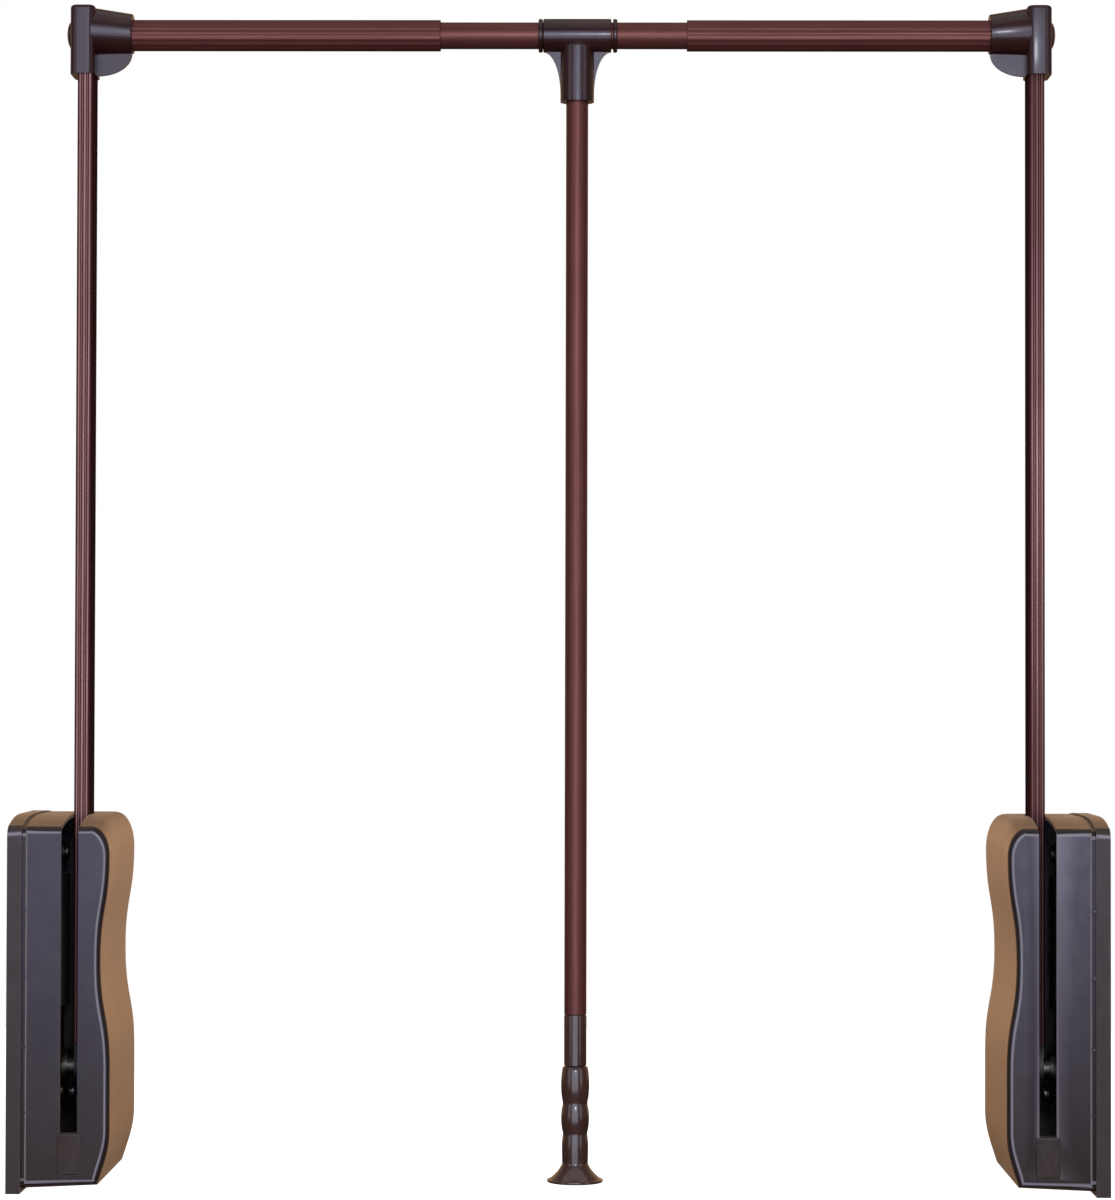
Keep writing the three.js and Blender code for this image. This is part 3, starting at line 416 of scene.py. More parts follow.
# Materials, made of noise in the object's own coordinates

SCREEN_LEVELS = 255
SCREEN_GAMMA = 2.2


def colour(red, green, blue):
    """A colour as a screen shows it (0 to 255), made linear."""
    return tuple((channel / SCREEN_LEVELS) ** SCREEN_GAMMA for channel in (red, green, blue)) + (1.0,)


WHITE = (1.0, 1.0, 1.0, 1.0)
# A painted highlight on roundings that face the wall and on sharp edges
PAINTED_EDGE_HIGHLIGHT = colour(160, 148, 150)
# A painted highlight line where a rounding meets the face
EDGE_SHINE = colour(142, 140, 154)
# Painted shade in crevices
PAINTED_CREVICE_SHADE = colour(20, 15, 17)
# Painted shade on the flanks and in the grooves of a flat tube
PAINTED_FLANK_SHADE = colour(64, 43, 45)
PAINTED_GROOVE_SHADE = colour(84, 46, 50)
DRAW_LINE = colour(90, 49, 47)
ANODISED = (colour(108, 62, 60), colour(119, 71, 68))
# A lighter copy of the anodised colour: painted light on the arm's front
ANODISED_ARM_PAINTED_LIGHT = (colour(158, 120, 121), colour(168, 128, 129))
COOL_SHINE = (0.74, 0.78, 1.0, 1.0)
WARM_SHEEN = (1.0, 0.74, 0.5, 1.0)

# Shine, relief and noise
ANODISED_METAL_SHARE = 0.55
PLAIN_SPECULAR = 0.5
COAT_ROUGHNESS = 0.12
FINE_RELIEF = 0.00003
COARSE_RELIEF = 0.00004
DRAWN_RELIEF = 0.00002
DRAWN_SHARE = 0.01
BRUSHED_SHARE = 0.04
NOISE_ROUGHNESS = 0.55
NOISE_SHARES = (0.3, 0.7)

# Where the painted light and shade on a housing change: by height, by distance from the middle,
# and by that distance times how far a surface faces away from the middle
RISE_RANGE = (0.02, 0.22)
SUNLIT_MARGIN = 0.002
SUNLIT_FADE = 0.004
SUNLIT_TO = WALLS["right"][0] - COVER_FOOT[0] + SUNLIT_MARGIN
OUTWARD_RANGE = (0.02, 0.06)
WALLWARD_HIGHLIGHT_RANGE = (0.12, 0.25)

# Where a colour changes with how far a surface faces up, front or sideways, or is open or sharp
TOP_SHARES = (0.2, 0.8)
ROUNDING_SHARES = (0.16, 0.42)
SHINE_SHARES = (0.86, 0.93)
FACE_SHARES = (0.965, 0.995)
GROOVE_SHARES = (0.06, 0.32)
FLANK_SHARES = (0.75, 0.95)
OPEN_SHARES = (0.25, 0.75)
EDGE_HIGHLIGHT_SHARES = (0.53, 0.6)

# Where a mix node keeps its two colours and its result
MIX_COLOURS = (6, 7)
MIX_RESULT = 2


class Nodes:
    """Short ways to add and link the nodes of one tree."""

    def __init__(self, tree):
        self.tree = tree

    def node(self, kind, values=None, **settings):
        """Adds a node with some settings, and with values for some of its inputs."""
        made = self.tree.nodes.new(kind)
        for name, value in settings.items():
            setattr(made, name, value)
        for name, value in (values or {}).items():
            made.inputs[name].default_value = value
        return made

    def link(self, source, target):
        self.tree.links.new(source, target)

    def worked_out(self, operation, *values):
        """A sum on one or two values."""
        made = self.node("ShaderNodeMath", operation=operation)
        for value, target in zip(values, made.inputs):
            self.link(value, target)
        return made.outputs[0]

    def parts(self, vector):
        """The X, Y and Z of a vector."""
        split = self.node("ShaderNodeSeparateXYZ")
        self.link(vector, split.inputs[0])
        return split.outputs

    def spread(self, source, low, high, limits=NOISE_SHARES, curve="LINEAR"):
        """Maps what a value does between two limits onto another range."""
        start, end = limits
        values = {"From Min": start, "From Max": end, "To Min": low, "To Max": high}
        spread = self.node("ShaderNodeMapRange", values, interpolation_type=curve)
        self.link(source, spread.inputs["Value"])
        return spread.outputs["Result"]

    def share(self, source, limits=NOISE_SHARES, curve="LINEAR"):
        """How far a value is between two limits, from 0 to 1."""
        return self.spread(source, 0.0, 1.0, limits, curve)

    def blend(self, share, first, second):
        """Mixes two colours, or colour outputs, by a share from 0 to 1."""
        mix = self.node("ShaderNodeMix", data_type="RGBA")
        self.link(share, mix.inputs["Factor"])
        for socket, value in zip(MIX_COLOURS, (first, second)):
            if isinstance(value, tuple):
                mix.inputs[socket].default_value = value
            else:
                self.link(value, mix.inputs[socket])
        return mix.outputs[MIX_RESULT]


class Finish(Nodes):
    """One material round a Principled shader."""

    def __init__(self, name, roughness, metallic=0.0, ior=1.48):
        self.material = bpy.data.materials.new(name)
        self.material.use_nodes = True
        super().__init__(self.material.node_tree)
        self.shader = self.tree.nodes["Principled BSDF"]
        self.set("Roughness", roughness)
        self.set("Metallic", metallic)
        self.set("IOR", ior)
        self.places = self.node("ShaderNodeTexCoord").outputs["Object"]

    def set(self, name, value):
        self.shader.inputs[name].default_value = value

    def steer(self, name, source):
        """Lets an output give the shader one of its values."""
        self.link(source, self.shader.inputs[name])

    def noise(self, scale, detail, stretch=(1, 1, 1)):
        """Noise with a scale in ripples per metre, drawn out where stretch is small."""
        mapping = self.node("ShaderNodeMapping", {"Scale": stretch})
        self.link(self.places, mapping.inputs["Vector"])
        values = {"Scale": scale, "Detail": detail, "Roughness": NOISE_ROUGHNESS}
        noise = self.node("ShaderNodeTexNoise", values)
        self.link(mapping.outputs["Vector"], noise.inputs["Vector"])
        return noise.outputs["Fac"]

    def drawn_noise(self, scale, detail, axis, share):
        """Noise drawn out along one axis, where it has only a share of its ripples."""
        return self.noise(scale, detail, tuple(share if letter == axis else 1.0 for letter in "xyz"))

    def mottled(self, scale, detail, shades):
        """Two shades in soft patches."""
        return self.blend(self.share(self.noise(scale, detail)), *shades)

    def uneven_roughness(self, scale, detail, limits):
        self.steer("Roughness", self.spread(self.noise(scale, detail), *limits))

    def relief(self, source, height, strength):
        """Surface relief of a height in metres."""
        bump = self.node("ShaderNodeBump", {"Distance": height, "Strength": strength})
        self.link(source, bump.inputs["Height"])
        self.steer("Normal", bump.outputs["Normal"])

    def directions(self):
        """The X, Y and Z of where a surface faces."""
        return self.parts(self.node("ShaderNodeNewGeometry").outputs["Normal"])


def shell_shade(finish, upper, lower, edge, top, side, foot):
    """A housing's colour with light and shade painted in: a bluish painted reflection on the upper face,
    browner with painted shade towards its foot, and a warm painted reflection on its top and inner side.

    Its roundings take a painted dark reflection, a painted highlight where they face the wall, and a
    painted highlight line where they end at the face.
    """
    cloud = finish.share(finish.noise(14, detail=4))
    normal = finish.directions()
    place = finish.parts(finish.places)
    front = finish.worked_out("ABSOLUTE", normal["Y"])
    up = finish.worked_out("ABSOLUTE", normal["Z"])
    away = finish.worked_out("MULTIPLY", normal["X"], place["X"])
    beside = finish.worked_out("ABSOLUTE", place["X"])
    rise = finish.share(place["Z"], RISE_RANGE)
    face = finish.blend(rise, finish.blend(cloud, *lower), finish.blend(cloud, *upper))
    flank = finish.blend(rise, finish.blend(cloud, *foot), finish.blend(cloud, *side))
    flank = finish.blend(finish.share(beside, (SUNLIT_TO, SUNLIT_TO + SUNLIT_FADE)), flank, edge)
    flank = finish.blend(finish.share(away, OUTWARD_RANGE), flank, edge)
    painted_warm_reflection = finish.blend(finish.share(up, TOP_SHARES), flank, finish.blend(cloud, *top))
    rounding = finish.blend(finish.share(away, WALLWARD_HIGHLIGHT_RANGE), edge, PAINTED_EDGE_HIGHLIGHT)
    rounding = finish.blend(finish.share(front, SHINE_SHARES), rounding, EDGE_SHINE)
    rounding = finish.blend(finish.share(front, FACE_SHARES), rounding, face)
    return finish.blend(finish.share(front, ROUNDING_SHARES), painted_warm_reflection, rounding)


def moulded_shell(name, roughness, **shades):
    """Satin moulded plastic with painted shade in its crevices."""
    finish = Finish(name, roughness=sum(roughness) / 2, ior=1.5)
    crevice = finish.node("ShaderNodeAmbientOcclusion", {"Distance": CREVICE_REACH}, samples=4)
    openness = finish.share(crevice.outputs["AO"], OPEN_SHARES)
    finish.steer("Base Color", finish.blend(openness, PAINTED_CREVICE_SHADE, shell_shade(finish, **shades)))
    finish.uneven_roughness(90, 3, roughness)
    finish.relief(finish.noise(600, detail=1), FINE_RELIEF, strength=0.2)
    finish.set("Specular IOR Level", 0.38)
    finish.set("Sheen Weight", 0.35)
    finish.set("Sheen Roughness", 0.4)
    finish.set("Sheen Tint", WARM_SHEEN)
    return finish.material


def housing_plastic():
    # Upper and lower are a bluish painted reflection fading to painted shade at the foot; top, side and
    # foot are a warm painted reflection; edge is painted shade on roundings and on sides turned from the
    # light
    return moulded_shell(
        "housing_plastic",
        upper=(colour(66, 61, 80), colour(74, 69, 89)),
        lower=(colour(36, 22, 25), colour(44, 29, 33)),
        edge=colour(44, 37, 40),
        top=(colour(126, 92, 64), colour(140, 104, 74)),
        side=(colour(230, 175, 127), colour(243, 187, 137)),
        foot=(colour(198, 144, 92), colour(210, 155, 101)),
        roughness=(0.38, 0.5),
    )


def tray_plastic():
    # Upper and lower fade from painted reflection to painted shade; top, side and foot are a warm painted
    # reflection; edge is painted shade on roundings and on sides turned from the light
    return moulded_shell(
        "tray_plastic",
        upper=(colour(60, 50, 56), colour(68, 58, 64)),
        lower=(colour(50, 39, 42), colour(58, 47, 50)),
        edge=colour(62, 52, 54),
        top=(colour(128, 96, 68), colour(140, 106, 78)),
        side=(colour(128, 96, 68), colour(140, 106, 78)),
        foot=(colour(112, 82, 58), colour(124, 92, 66)),
        roughness=(0.4, 0.52),
    )


def buffer_rubber():
    finish = Finish("buffer_rubber", roughness=0.6, ior=1.5)
    shade = finish.mottled(60, 4, (colour(46, 33, 32), colour(56, 41, 39)))
    # A painted highlight on the sharp edges
    sharpness = finish.node("ShaderNodeNewGeometry").outputs["Pointiness"]
    edge_highlight = finish.spread(sharpness, 0.0, 0.5, EDGE_HIGHLIGHT_SHARES)
    finish.steer("Base Color", finish.blend(edge_highlight, shade, PAINTED_EDGE_HIGHLIGHT))
    finish.uneven_roughness(200, 4, (0.52, 0.7))
    finish.relief(finish.noise(2200, detail=2), COARSE_RELIEF, strength=0.4)
    return finish.material


def glossy(name, shades, roughness, coat):
    """Glossy plastic under a clear coat."""
    finish = Finish(name, roughness=sum(roughness) / 2, ior=1.52)
    finish.set("Specular Tint", COOL_SHINE)
    finish.set("Coat Weight", coat)
    finish.set("Coat Roughness", COAT_ROUGHNESS)
    finish.steer("Base Color", finish.mottled(40, 3, shades))
    finish.uneven_roughness(60, 2, roughness)
    finish.relief(finish.noise(70, detail=1), FINE_RELIEF, strength=0.05)
    return finish.material


def gloss_plastic():
    return glossy("gloss_plastic", (colour(46, 22, 20), colour(57, 29, 26)), (0.3, 0.36), coat=0.4)


# A lighter copy of the gloss plastic's brown: painted light on the low grip and ferrule
def grip_plastic():
    return glossy("grip_plastic", (colour(64, 43, 38), colour(76, 53, 47)), (0.22, 0.28), coat=1.0)


def flat_tube_painted_shade(finish, shade):
    """Paints shade into the grooves and onto the flanks of a flat tube, and takes the shine off its
    flanks.
    """
    sideways = finish.worked_out("ABSOLUTE", finish.directions()["X"])
    finish.steer("Metallic", finish.spread(sideways, ANODISED_METAL_SHARE, 0.0, FLANK_SHARES))
    finish.steer("Specular IOR Level", finish.spread(sideways, PLAIN_SPECULAR, 0.0, FLANK_SHARES))
    shade = finish.blend(finish.share(sideways, GROOVE_SHARES), shade, PAINTED_GROOVE_SHADE)
    return finish.blend(finish.share(sideways, FLANK_SHARES), shade, PAINTED_FLANK_SHADE)


def brown_aluminium(name, axis, shades, flat=False):
    """Anodised tube with faint draw lines along an axis, and on a flat tube painted shade on its flanks
    and grooves.
    """
    finish = Finish(name, roughness=0.34, metallic=ANODISED_METAL_SHARE, ior=1.5)
    drawn = finish.drawn_noise(900, 3, axis, DRAWN_SHARE)
    shade = finish.mottled(10, 3, shades)
    if flat:
        shade = flat_tube_painted_shade(finish, shade)
    finish.steer("Base Color", finish.blend(finish.spread(drawn, 0.0, 0.5), shade, DRAW_LINE))
    finish.steer("Roughness", finish.spread(drawn, 0.4, 0.52))
    finish.relief(drawn, DRAWN_RELIEF, strength=0.25)
    return finish.material


def plated_steel():
    finish = Finish("plated_steel", roughness=0.3, metallic=1.0)
    brushed = finish.drawn_noise(1600, 3, "z", BRUSHED_SHARE)
    finish.steer("Base Color", finish.mottled(70, 5, (colour(112, 110, 110), colour(140, 138, 136))))
    finish.steer("Roughness", finish.spread(brushed, 0.24, 0.42))
    finish.relief(brushed, FINE_RELIEF, strength=0.3)
    return finish.material


def dark_steel():
    finish = Finish("dark_steel", roughness=0.38, ior=1.5)
    finish.steer("Base Color", finish.mottled(50, 4, (colour(34, 33, 35), colour(48, 46, 47))))
    finish.uneven_roughness(300, 4, (0.32, 0.46))
    finish.relief(finish.noise(700, detail=2), FINE_RELIEF, strength=0.3)
    return finish.material


def nylon():
    finish = Finish("nylon", roughness=0.5, ior=1.53)
    finish.steer("Base Color", finish.mottled(80, 4, (colour(44, 38, 36), colour(56, 49, 46))))
    finish.uneven_roughness(240, 3, (0.44, 0.58))
    finish.relief(finish.noise(1200, detail=2), COARSE_RELIEF, strength=0.3)
    return finish.material


MATERIALS = {
    "housing_plastic": housing_plastic(),
    "tray_plastic": tray_plastic(),
    "buffer_rubber": buffer_rubber(),
    "gloss_plastic": gloss_plastic(),
    "grip_plastic": grip_plastic(),
    "brown_aluminium_x": brown_aluminium("brown_aluminium_x", "x", ANODISED),
    "brown_aluminium_z": brown_aluminium("brown_aluminium_z", "z", ANODISED),
    "arm_aluminium": brown_aluminium("arm_aluminium", "z", ANODISED_ARM_PAINTED_LIGHT, flat=True),
    "plated_steel": plated_steel(),
    "dark_steel": dark_steel(),
    "nylon": nylon(),
}


def dressed(obj, node, material):
    """Names a finished piece, gives it its material and lets it stand for its CAD node."""
    obj.name = node + "_look"
    obj.data.name = obj.name
    obj.data.materials.clear()
    obj.data.materials.append(MATERIALS[material])
    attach(obj, frame["nodes"][node]["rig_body"])
    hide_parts(node)
    return obj


def on_both_walls(shape, name, material):
    """Sets one side's shape on the left wall, and its mirror image on the right wall."""
    twin = bpy.data.objects.new("shape", shape.data.copy())
    bpy.context.scene.collection.objects.link(twin)
    for obj, (side, (wall, direction)) in zip((shape, twin), WALLS.items()):
        obj.data.transform(Matrix.Translation((wall, 0, 0)) @ Matrix.Diagonal((direction, 1, 1, 1)))
        if direction < 0:
            obj.data.flip_normals()
        dressed(obj, f"{side}_{name}", material)


# Housing

def bezier(start, first, second, end):
    """Points of a curve after its start point."""
    points = []
    for i in range(1, CURVE + 1):
        t = i / CURVE
        u = 1 - t
        points.append(
            tuple(
                u * u * u * a + 3 * u * u * t * b + 3 * u * t * t * c + t * t * t * d
                for a, b, c, d in zip(start, first, second, end)
            )
        )
    return points


def cover_outline(start):
    """The cover seen from the front, from the wall side round the wavy inner side and back."""
    top = COVER_HIGH.z
    foot_x, foot = COVER_FOOT
    waist_x, waist = COVER_WAIST
    shoulder_x, shoulder = COVER_SHOULDER
    corner_x = shoulder_x - COVER_CORNER_WIDTH
    foot_rise = COVER_BELLY_BOTTOM - foot
    lower_wave = (waist - COVER_BELLY_TOP) * WAVE_SHARE
    upper_wave = (shoulder - waist) * WAVE_SHARE
    corner_rise = (top - shoulder) * CORNER_SHARE
    outwards, first_rise, second_rise = FOOT_SHARES
    points = [(start, COVER_BOTTOM), COVER_FOOT]
    points += bezier(
        COVER_FOOT,
        (foot_x + (COVER_BELLY - foot_x) * outwards, foot + foot_rise * first_rise),
        (COVER_BELLY, foot + foot_rise * second_rise),
        (COVER_BELLY, COVER_BELLY_BOTTOM),
    )
    points.append((COVER_BELLY, COVER_BELLY_TOP))
    points += bezier(
        points[-1],
        (COVER_BELLY, COVER_BELLY_TOP + lower_wave),
        (waist_x, waist - lower_wave),
        COVER_WAIST,
    )
    points += bezier(
        COVER_WAIST,
        (waist_x, waist + upper_wave),
        (shoulder_x, shoulder - upper_wave),
        COVER_SHOULDER,
    )
    points += bezier(
        COVER_SHOULDER,
        (shoulder_x, shoulder + corner_rise),
        (corner_x + COVER_CORNER_WIDTH * CORNER_SHARE, top),
        (corner_x, top),
    )
    points.append((start, top))
    return points


def outline_normals(points):
    """Outward vectors that carry an open, anticlockwise outline to its parallel at unit distance."""
    runs = [(Vector(b) - Vector(a)).normalized() for a, b in zip(points, points[1:])]
    sides = [Vector((run.y, -run.x)) for run in runs]
    sides = [Vector((0, -1))] + sides + [Vector((0, 1))]
    return [(a + b) / (1 + a.dot(b)) for a, b in zip(sides, sides[1:])]


def rounding_reaches(points, normals, wanted):
    """How far each outline point can be drawn in before its neighbours would cross."""
    slants = []
    for i, normal in enumerate(normals):
        before = Vector(points[max(i - 1, 0)])
        after = Vector(points[min(i + 1, len(points) - 1)])
        side = Vector(((after - before).y, (before - after).x)).normalized()
        convex = 0 < i < len(points) - 1 and (Vector(points[i]) - (before + after) / 2).dot(side) > 0
        slants.append(sqrt(max(normal.length_squared - 1, 0)) * (1 if convex else -1))
    reaches = list(wanted)
    for i in range(len(points) - 1):
        length = (Vector(points[i + 1]) - Vector(points[i])).length
        closing = slants[i] + slants[i + 1]
        if closing > 0:
            most = ROUNDING_ROOM * length / closing
            reaches[i] = min(reaches[i], most)
            reaches[i + 1] = min(reaches[i + 1], most)
    padded = [reaches[0]] + reaches + [reaches[-1]]
    return [min(b, (a + b + c) / 3) for a, b, c in zip(padded, padded[1:], padded[2:])]


def crown_drop(depth, half):
    """How far the top lies below its crown at a place along y, on a body of that half depth."""
    front, rear = (half * (2 * share - 1) for share in CROWN_SHARES)
    front_end = COVER_FRONT_RADIUS - COVER_HIGH.y
    rear_end = half - CROWN_REAR_RADIUS
    if depth < front:
        return CROWN_FRONT_DROP * min(1, (front - depth) / (front - front_end)) ** 2
    if depth > rear:
        return CROWN_REAR_DROP * min(1, (depth - rear) / (rear_end - rear)) ** 2
    return 0.0


def rounded_shell(start, inset):
    """A closed body of the cover's outline with round edges and a crowned top, drawn in by an inset."""
    points = cover_outline(start)
    normals = outline_normals(points)
    half = COVER_HIGH.y - inset
    shoulder = COVER_SHOULDER[1]

    def wanted(direction):
        radii = []
        for normal in normals:
            rear_top = direction > 0 and normal.y > 0
            flat_radius = CROWN_REAR_RADIUS if rear_top else COVER_FRONT_RADIUS
            share = abs(normal.normalized().y)
            radii.append(COVER_SIDE_RADIUS + (flat_radius - COVER_SIDE_RADIUS) * share)
        return radii

    reaches = {
        direction: rounding_reaches(points, normals, wanted(direction)) for direction in (-1, 1)
    }

    def ring(direction, turn):
        made = []
        for point, normal, reach in zip(points, normals, reaches[direction]):
            radius = max(reach - inset, EDGE)
            place = Vector(point) - normal * (inset + radius * (1 - sin(turn)))
            depth = direction * (half - radius * (1 - cos(turn)))
            made.append([place.x, depth, place.y])
        return made

    rings = [ring(-1, turn) for turn in quarter_turns()]
    front, rear = ring(-1, pi / 2), ring(1, pi / 2)
    for step in range(1, CROWN_RINGS):
        share = step / CROWN_RINGS
        rings.append([[a + (b - a) * share for a, b in zip(p, q)] for p, q in zip(front, rear)])
    rings += [ring(1, turn) for turn in reversed(quarter_turns())]
    for point in (point for made in rings for point in made):
        lift = max(0, (point[2] - shoulder) / (COVER_HIGH.z - shoulder))
        point[2] -= lift * crown_drop(point[1], half)
    return solid([[Vector(point) for point in made] for made in rings])


def rounded_rectangle(low, high, radius):
    """An outline with round corners, from two opposite corners."""
    points = []
    centres = (
        (high[0] - radius, high[1] - radius),
        (low[0] + radius, high[1] - radius),
        (low[0] + radius, low[1] + radius),
        (high[0] - radius, low[1] + radius),
    )
    for quarter, (x, y) in enumerate(centres):
        for turn in quarter_turns(quarter=quarter):
            points.append((x + radius * cos(turn), y + radius * sin(turn)))
    return points


def cover_side_outline(inset):
    """The cover seen from its side, as (y, z): round at front and foot, crowned on top."""
    half = COVER_HIGH.y - inset
    radius = COVER_FRONT_RADIUS - inset
    high = COVER_HIGH.z - inset
    points = rounded_rectangle((-half, COVER_BOTTOM + inset), (half, high), radius)
    below = [point for point in points if point[1] < COVER_SHOULDER[1]]
    top = []
    for turn in quarter_turns():
        y = half - CROWN_REAR_RADIUS * (1 - cos(turn))
        top.append((y, high - CROWN_REAR_DROP - CROWN_REAR_RADIUS * (1 - sin(turn))))
    for i in range(1, CROWN_RINGS):
        y = half - CROWN_REAR_RADIUS - (2 * half - CROWN_REAR_RADIUS - radius) * i / CROWN_RINGS
        top.append((y, high - crown_drop(y, half)))
    for turn in quarter_turns(quarter=1):
        y = radius - half + radius * cos(turn)
        top.append((y, high - CROWN_FRONT_DROP - radius * (1 - sin(turn))))
    return top + below


def cover_lip():
    """The rim that goes into the tray."""
    end = COVER_START + COVER_WALL
    return cut(
        prism("x", cover_side_outline(LIP_INSET), LIP_START, end),
        prism("x", cover_side_outline(LIP_INSET + LIP_WALL), LIP_START - OVERRUN, end + OVERRUN),
    )


def snap_nubs():
    """Small nubs in pairs, at the front and the back of the rim."""
    near = COVER_HIGH.y - LIP_INSET - LIP_WALL / 2
    far = COVER_HIGH.y - LIP_INSET + NUB_STAND
    start = COVER_START - LIP_WALL - NOTCH_GAP
    end = COVER_START + COVER_WALL / 2
    return [
        block((start, low, height - NUB_HALF_HEIGHT), (end, high, height + NUB_HALF_HEIGHT))
        for height in NUB_HEIGHTS
        for low, high in ((-far, -near), (near, far))
    ]


def arm_slot():
    """What is cut away for the arm to swing through."""
    end = ARM_HIGH.y + SLOT_HALF_WIDTH - (ARM_HIGH.x - ARM_LOW.x) / 2
    return block(
        (ARM_CENTRE - SLOT_HALF_WIDTH, COVER_LOW.y - OVERRUN, BUFFER_HIGH.z),
        (ARM_CENTRE + SLOT_HALF_WIDTH, end, COVER_HIGH.z + OVERRUN),
    )


def buffer_notch():
    """What is cut away for the buffer, without its hidden flange."""
    half = (BUFFER_HIGH.x - BUFFER_LOW.x) / 2 - BUFFER_FLANGE
    foot = BUFFER_LOW.z + BUFFER_FLANGE - NOTCH_GAP
    return block(
        (ARM_CENTRE - half - NOTCH_GAP, COVER_LOW.y - OVERRUN, foot),
        (ARM_CENTRE + half + NOTCH_GAP, COVER_LOW.y + NOTCH_DEPTH, BUFFER_HIGH.z + NOTCH_GAP),
    )


def seam_groove():
    """What is cut off the front edge that meets the tray."""
    front = COVER_LOW.y
    outline = [
        (COVER_START - OVERRUN, front - OVERRUN),
        (COVER_START + SEAM_WIDTH, front - OVERRUN),
        (COVER_START + SEAM_WIDTH, front),
        (COVER_START, front + SEAM_WIDTH),
        (COVER_START - OVERRUN, front + SEAM_WIDTH),
    ]
    return prism("z", outline, COVER_LOW.z - OVERRUN, COVER_HIGH.z + OVERRUN)


def side_cover():
    shell = cut(
        rounded_shell(COVER_START, 0),
        rounded_shell(COVER_START - COVER_WALL, COVER_WALL),
    )
    cover = cut(join(shell, cover_lip()), arm_slot(), buffer_notch())
    cover = cut(bevelled(cover, COVER_EDGE, COVER_BEVEL_FROM), seam_groove())
    cover = bevelled(join(cover, *snap_nubs()), NUB_EDGE, COVER_BEVEL_FROM)
    return smoothed(cover, flatness=COVER_FLATNESS)


# Arms and rod

def arm_section(gap, depth=0.0):
    """The arm's flat section, grown by a gap: round corners, and ends grooved beside a raised middle."""
    half_width = (ARM_HIGH.x - ARM_LOW.x) / 2 + gap
    half_depth = ARM_HIGH.y + gap
    corner = ARM_CORNER + gap
    flat = half_width - corner
    half = []
    for turn in quarter_turns():
        half.append((flat + corner * cos(turn), half_depth - corner + corner * sin(turn)))
    for i in range(1, ARM_END_STEPS):
        across = 1 - 2 * i / ARM_END_STEPS
        half.append((flat * across, half_depth - depth * sin(pi * across) ** ARM_GROOVE_POWER))
    for turn in quarter_turns(quarter=1):
        half.append((corner * cos(turn) - flat, half_depth - corner + corner * sin(turn)))
    return half + [(-x, -y) for x, y in half]


def arm_tube():
    outline = arm_section(0.0, ARM_GROOVE_DEPTH)
    hollow = tube("z", outline, arm_section(-ARM_WALL), ARM_LOW.z, ARM_HIGH.z)
    return smoothed(moved(hollow, x=ARM_CENTRE), TUBE_CREASE)


def fluted_circle(radius, flutes, depth, segments):
    """A round section with shallow grooves that have soft edges."""
    points = []
    for i in range(segments):
        turn = tau * i / segments
        wave = 0.5 - 0.5 * cos(flutes * turn)
        at = radius - depth * min(1.0, max(0.0, FLUTE_STEEPNESS * wave - FLUTE_LAND_SHARE))
        points.append((at * cos(turn), at * sin(turn)))
    return points


def outer_tube(low, high):
    segments = OUTER_FLUTES * FLUTE_STEPS
    outline = fluted_circle(OUTER_RADIUS, OUTER_FLUTES, OUTER_FLUTE_DEPTH, segments)
    hollow = tube("x", outline, circle(OUTER_RADIUS - OUTER_WALL, segments), low.x, high.x)
    return smoothed(moved(hollow, z=ROD_HEIGHT), TUBE_CREASE)


def inner_tube():
    outline = circle(INNER_RADIUS)
    hollow = tube("x", outline, circle(INNER_RADIUS - INNER_WALL), INNER_LOW.x, INNER_HIGH.x)
    return smoothed(moved(hollow, z=ROD_HEIGHT), TUBE_CREASE)


# Corner connector and its cap

def sleeve_body():
    """The upright socket of the connector: round corners and a round top edge."""
    sections = [(0, SLEEVE_LOW.z)]
    for turn in quarter_turns():
        inset = SLEEVE_TOP_RADIUS * (1 - cos(turn))
        sections.append((inset, SLEEVE_TOP_RADIUS * (sin(turn) - 1) + SLEEVE_HIGH.z))
    rings = []
    for inset, height in sections:
        low = (SLEEVE_LOW.x + inset, SLEEVE_LOW.y + inset)
        high = (SLEEVE_LOW.x + SLEEVE_WIDTH - inset, SLEEVE_HIGH.y - inset)
        outline = rounded_rectangle(low, high, SLEEVE_CORNER - inset)
        rings.append([Vector((x, y, height)) for x, y in outline])
    return solid(rings)


def rod_barrel():
    """The socket for the rod: a cone whose underside stays level."""
    end = SLEEVE_HIGH.x
    sections = [
        (SLEEVE_LOW.x + SLEEVE_WIDTH - BARREL_IN_SLEEVE, BARREL_ROOT_RADIUS, BARREL_ROOT_RISE),
        (end - BARREL_LIP, BARREL_END_RADIUS, BARREL_END_RISE),
    ]
    for turn in quarter_turns(ARC - 1)[1:]:
        radius = BARREL_END_RADIUS - BARREL_LIP * (1 - cos(turn))
        sections.append((end - BARREL_LIP * (1 - sin(turn)), radius, BARREL_END_RISE))
    rings = [
        [Vector((x, y, ROD_HEIGHT + rise + z)) for y, z in circle(radius)] for x, radius, rise in sections
    ]
    return solid(rings)


def fin():
    """The thin web in the corner under the barrel."""
    edge = SLEEVE_LOW.x + SLEEVE_WIDTH
    top = ROD_HEIGHT + BARREL_END_RISE - BARREL_END_RADIUS
    end = SLEEVE_HIGH.x - BARREL_LIP
    points = [(ARM_CENTRE, ROD_HEIGHT), (ARM_CENTRE, SLEEVE_LOW.z + EDGE)]
    for turn in quarter_turns(2 * CURVE):
        points.append((edge + (end - edge) * sin(turn), top - (top - SLEEVE_LOW.z - EDGE) * cos(turn)))
    points += [(end, ROD_HEIGHT - BARREL_END_RADIUS / 2), (edge, ROD_HEIGHT)]
    return prism("y", points, -FIN_THICKNESS / 2, FIN_THICKNESS / 2)


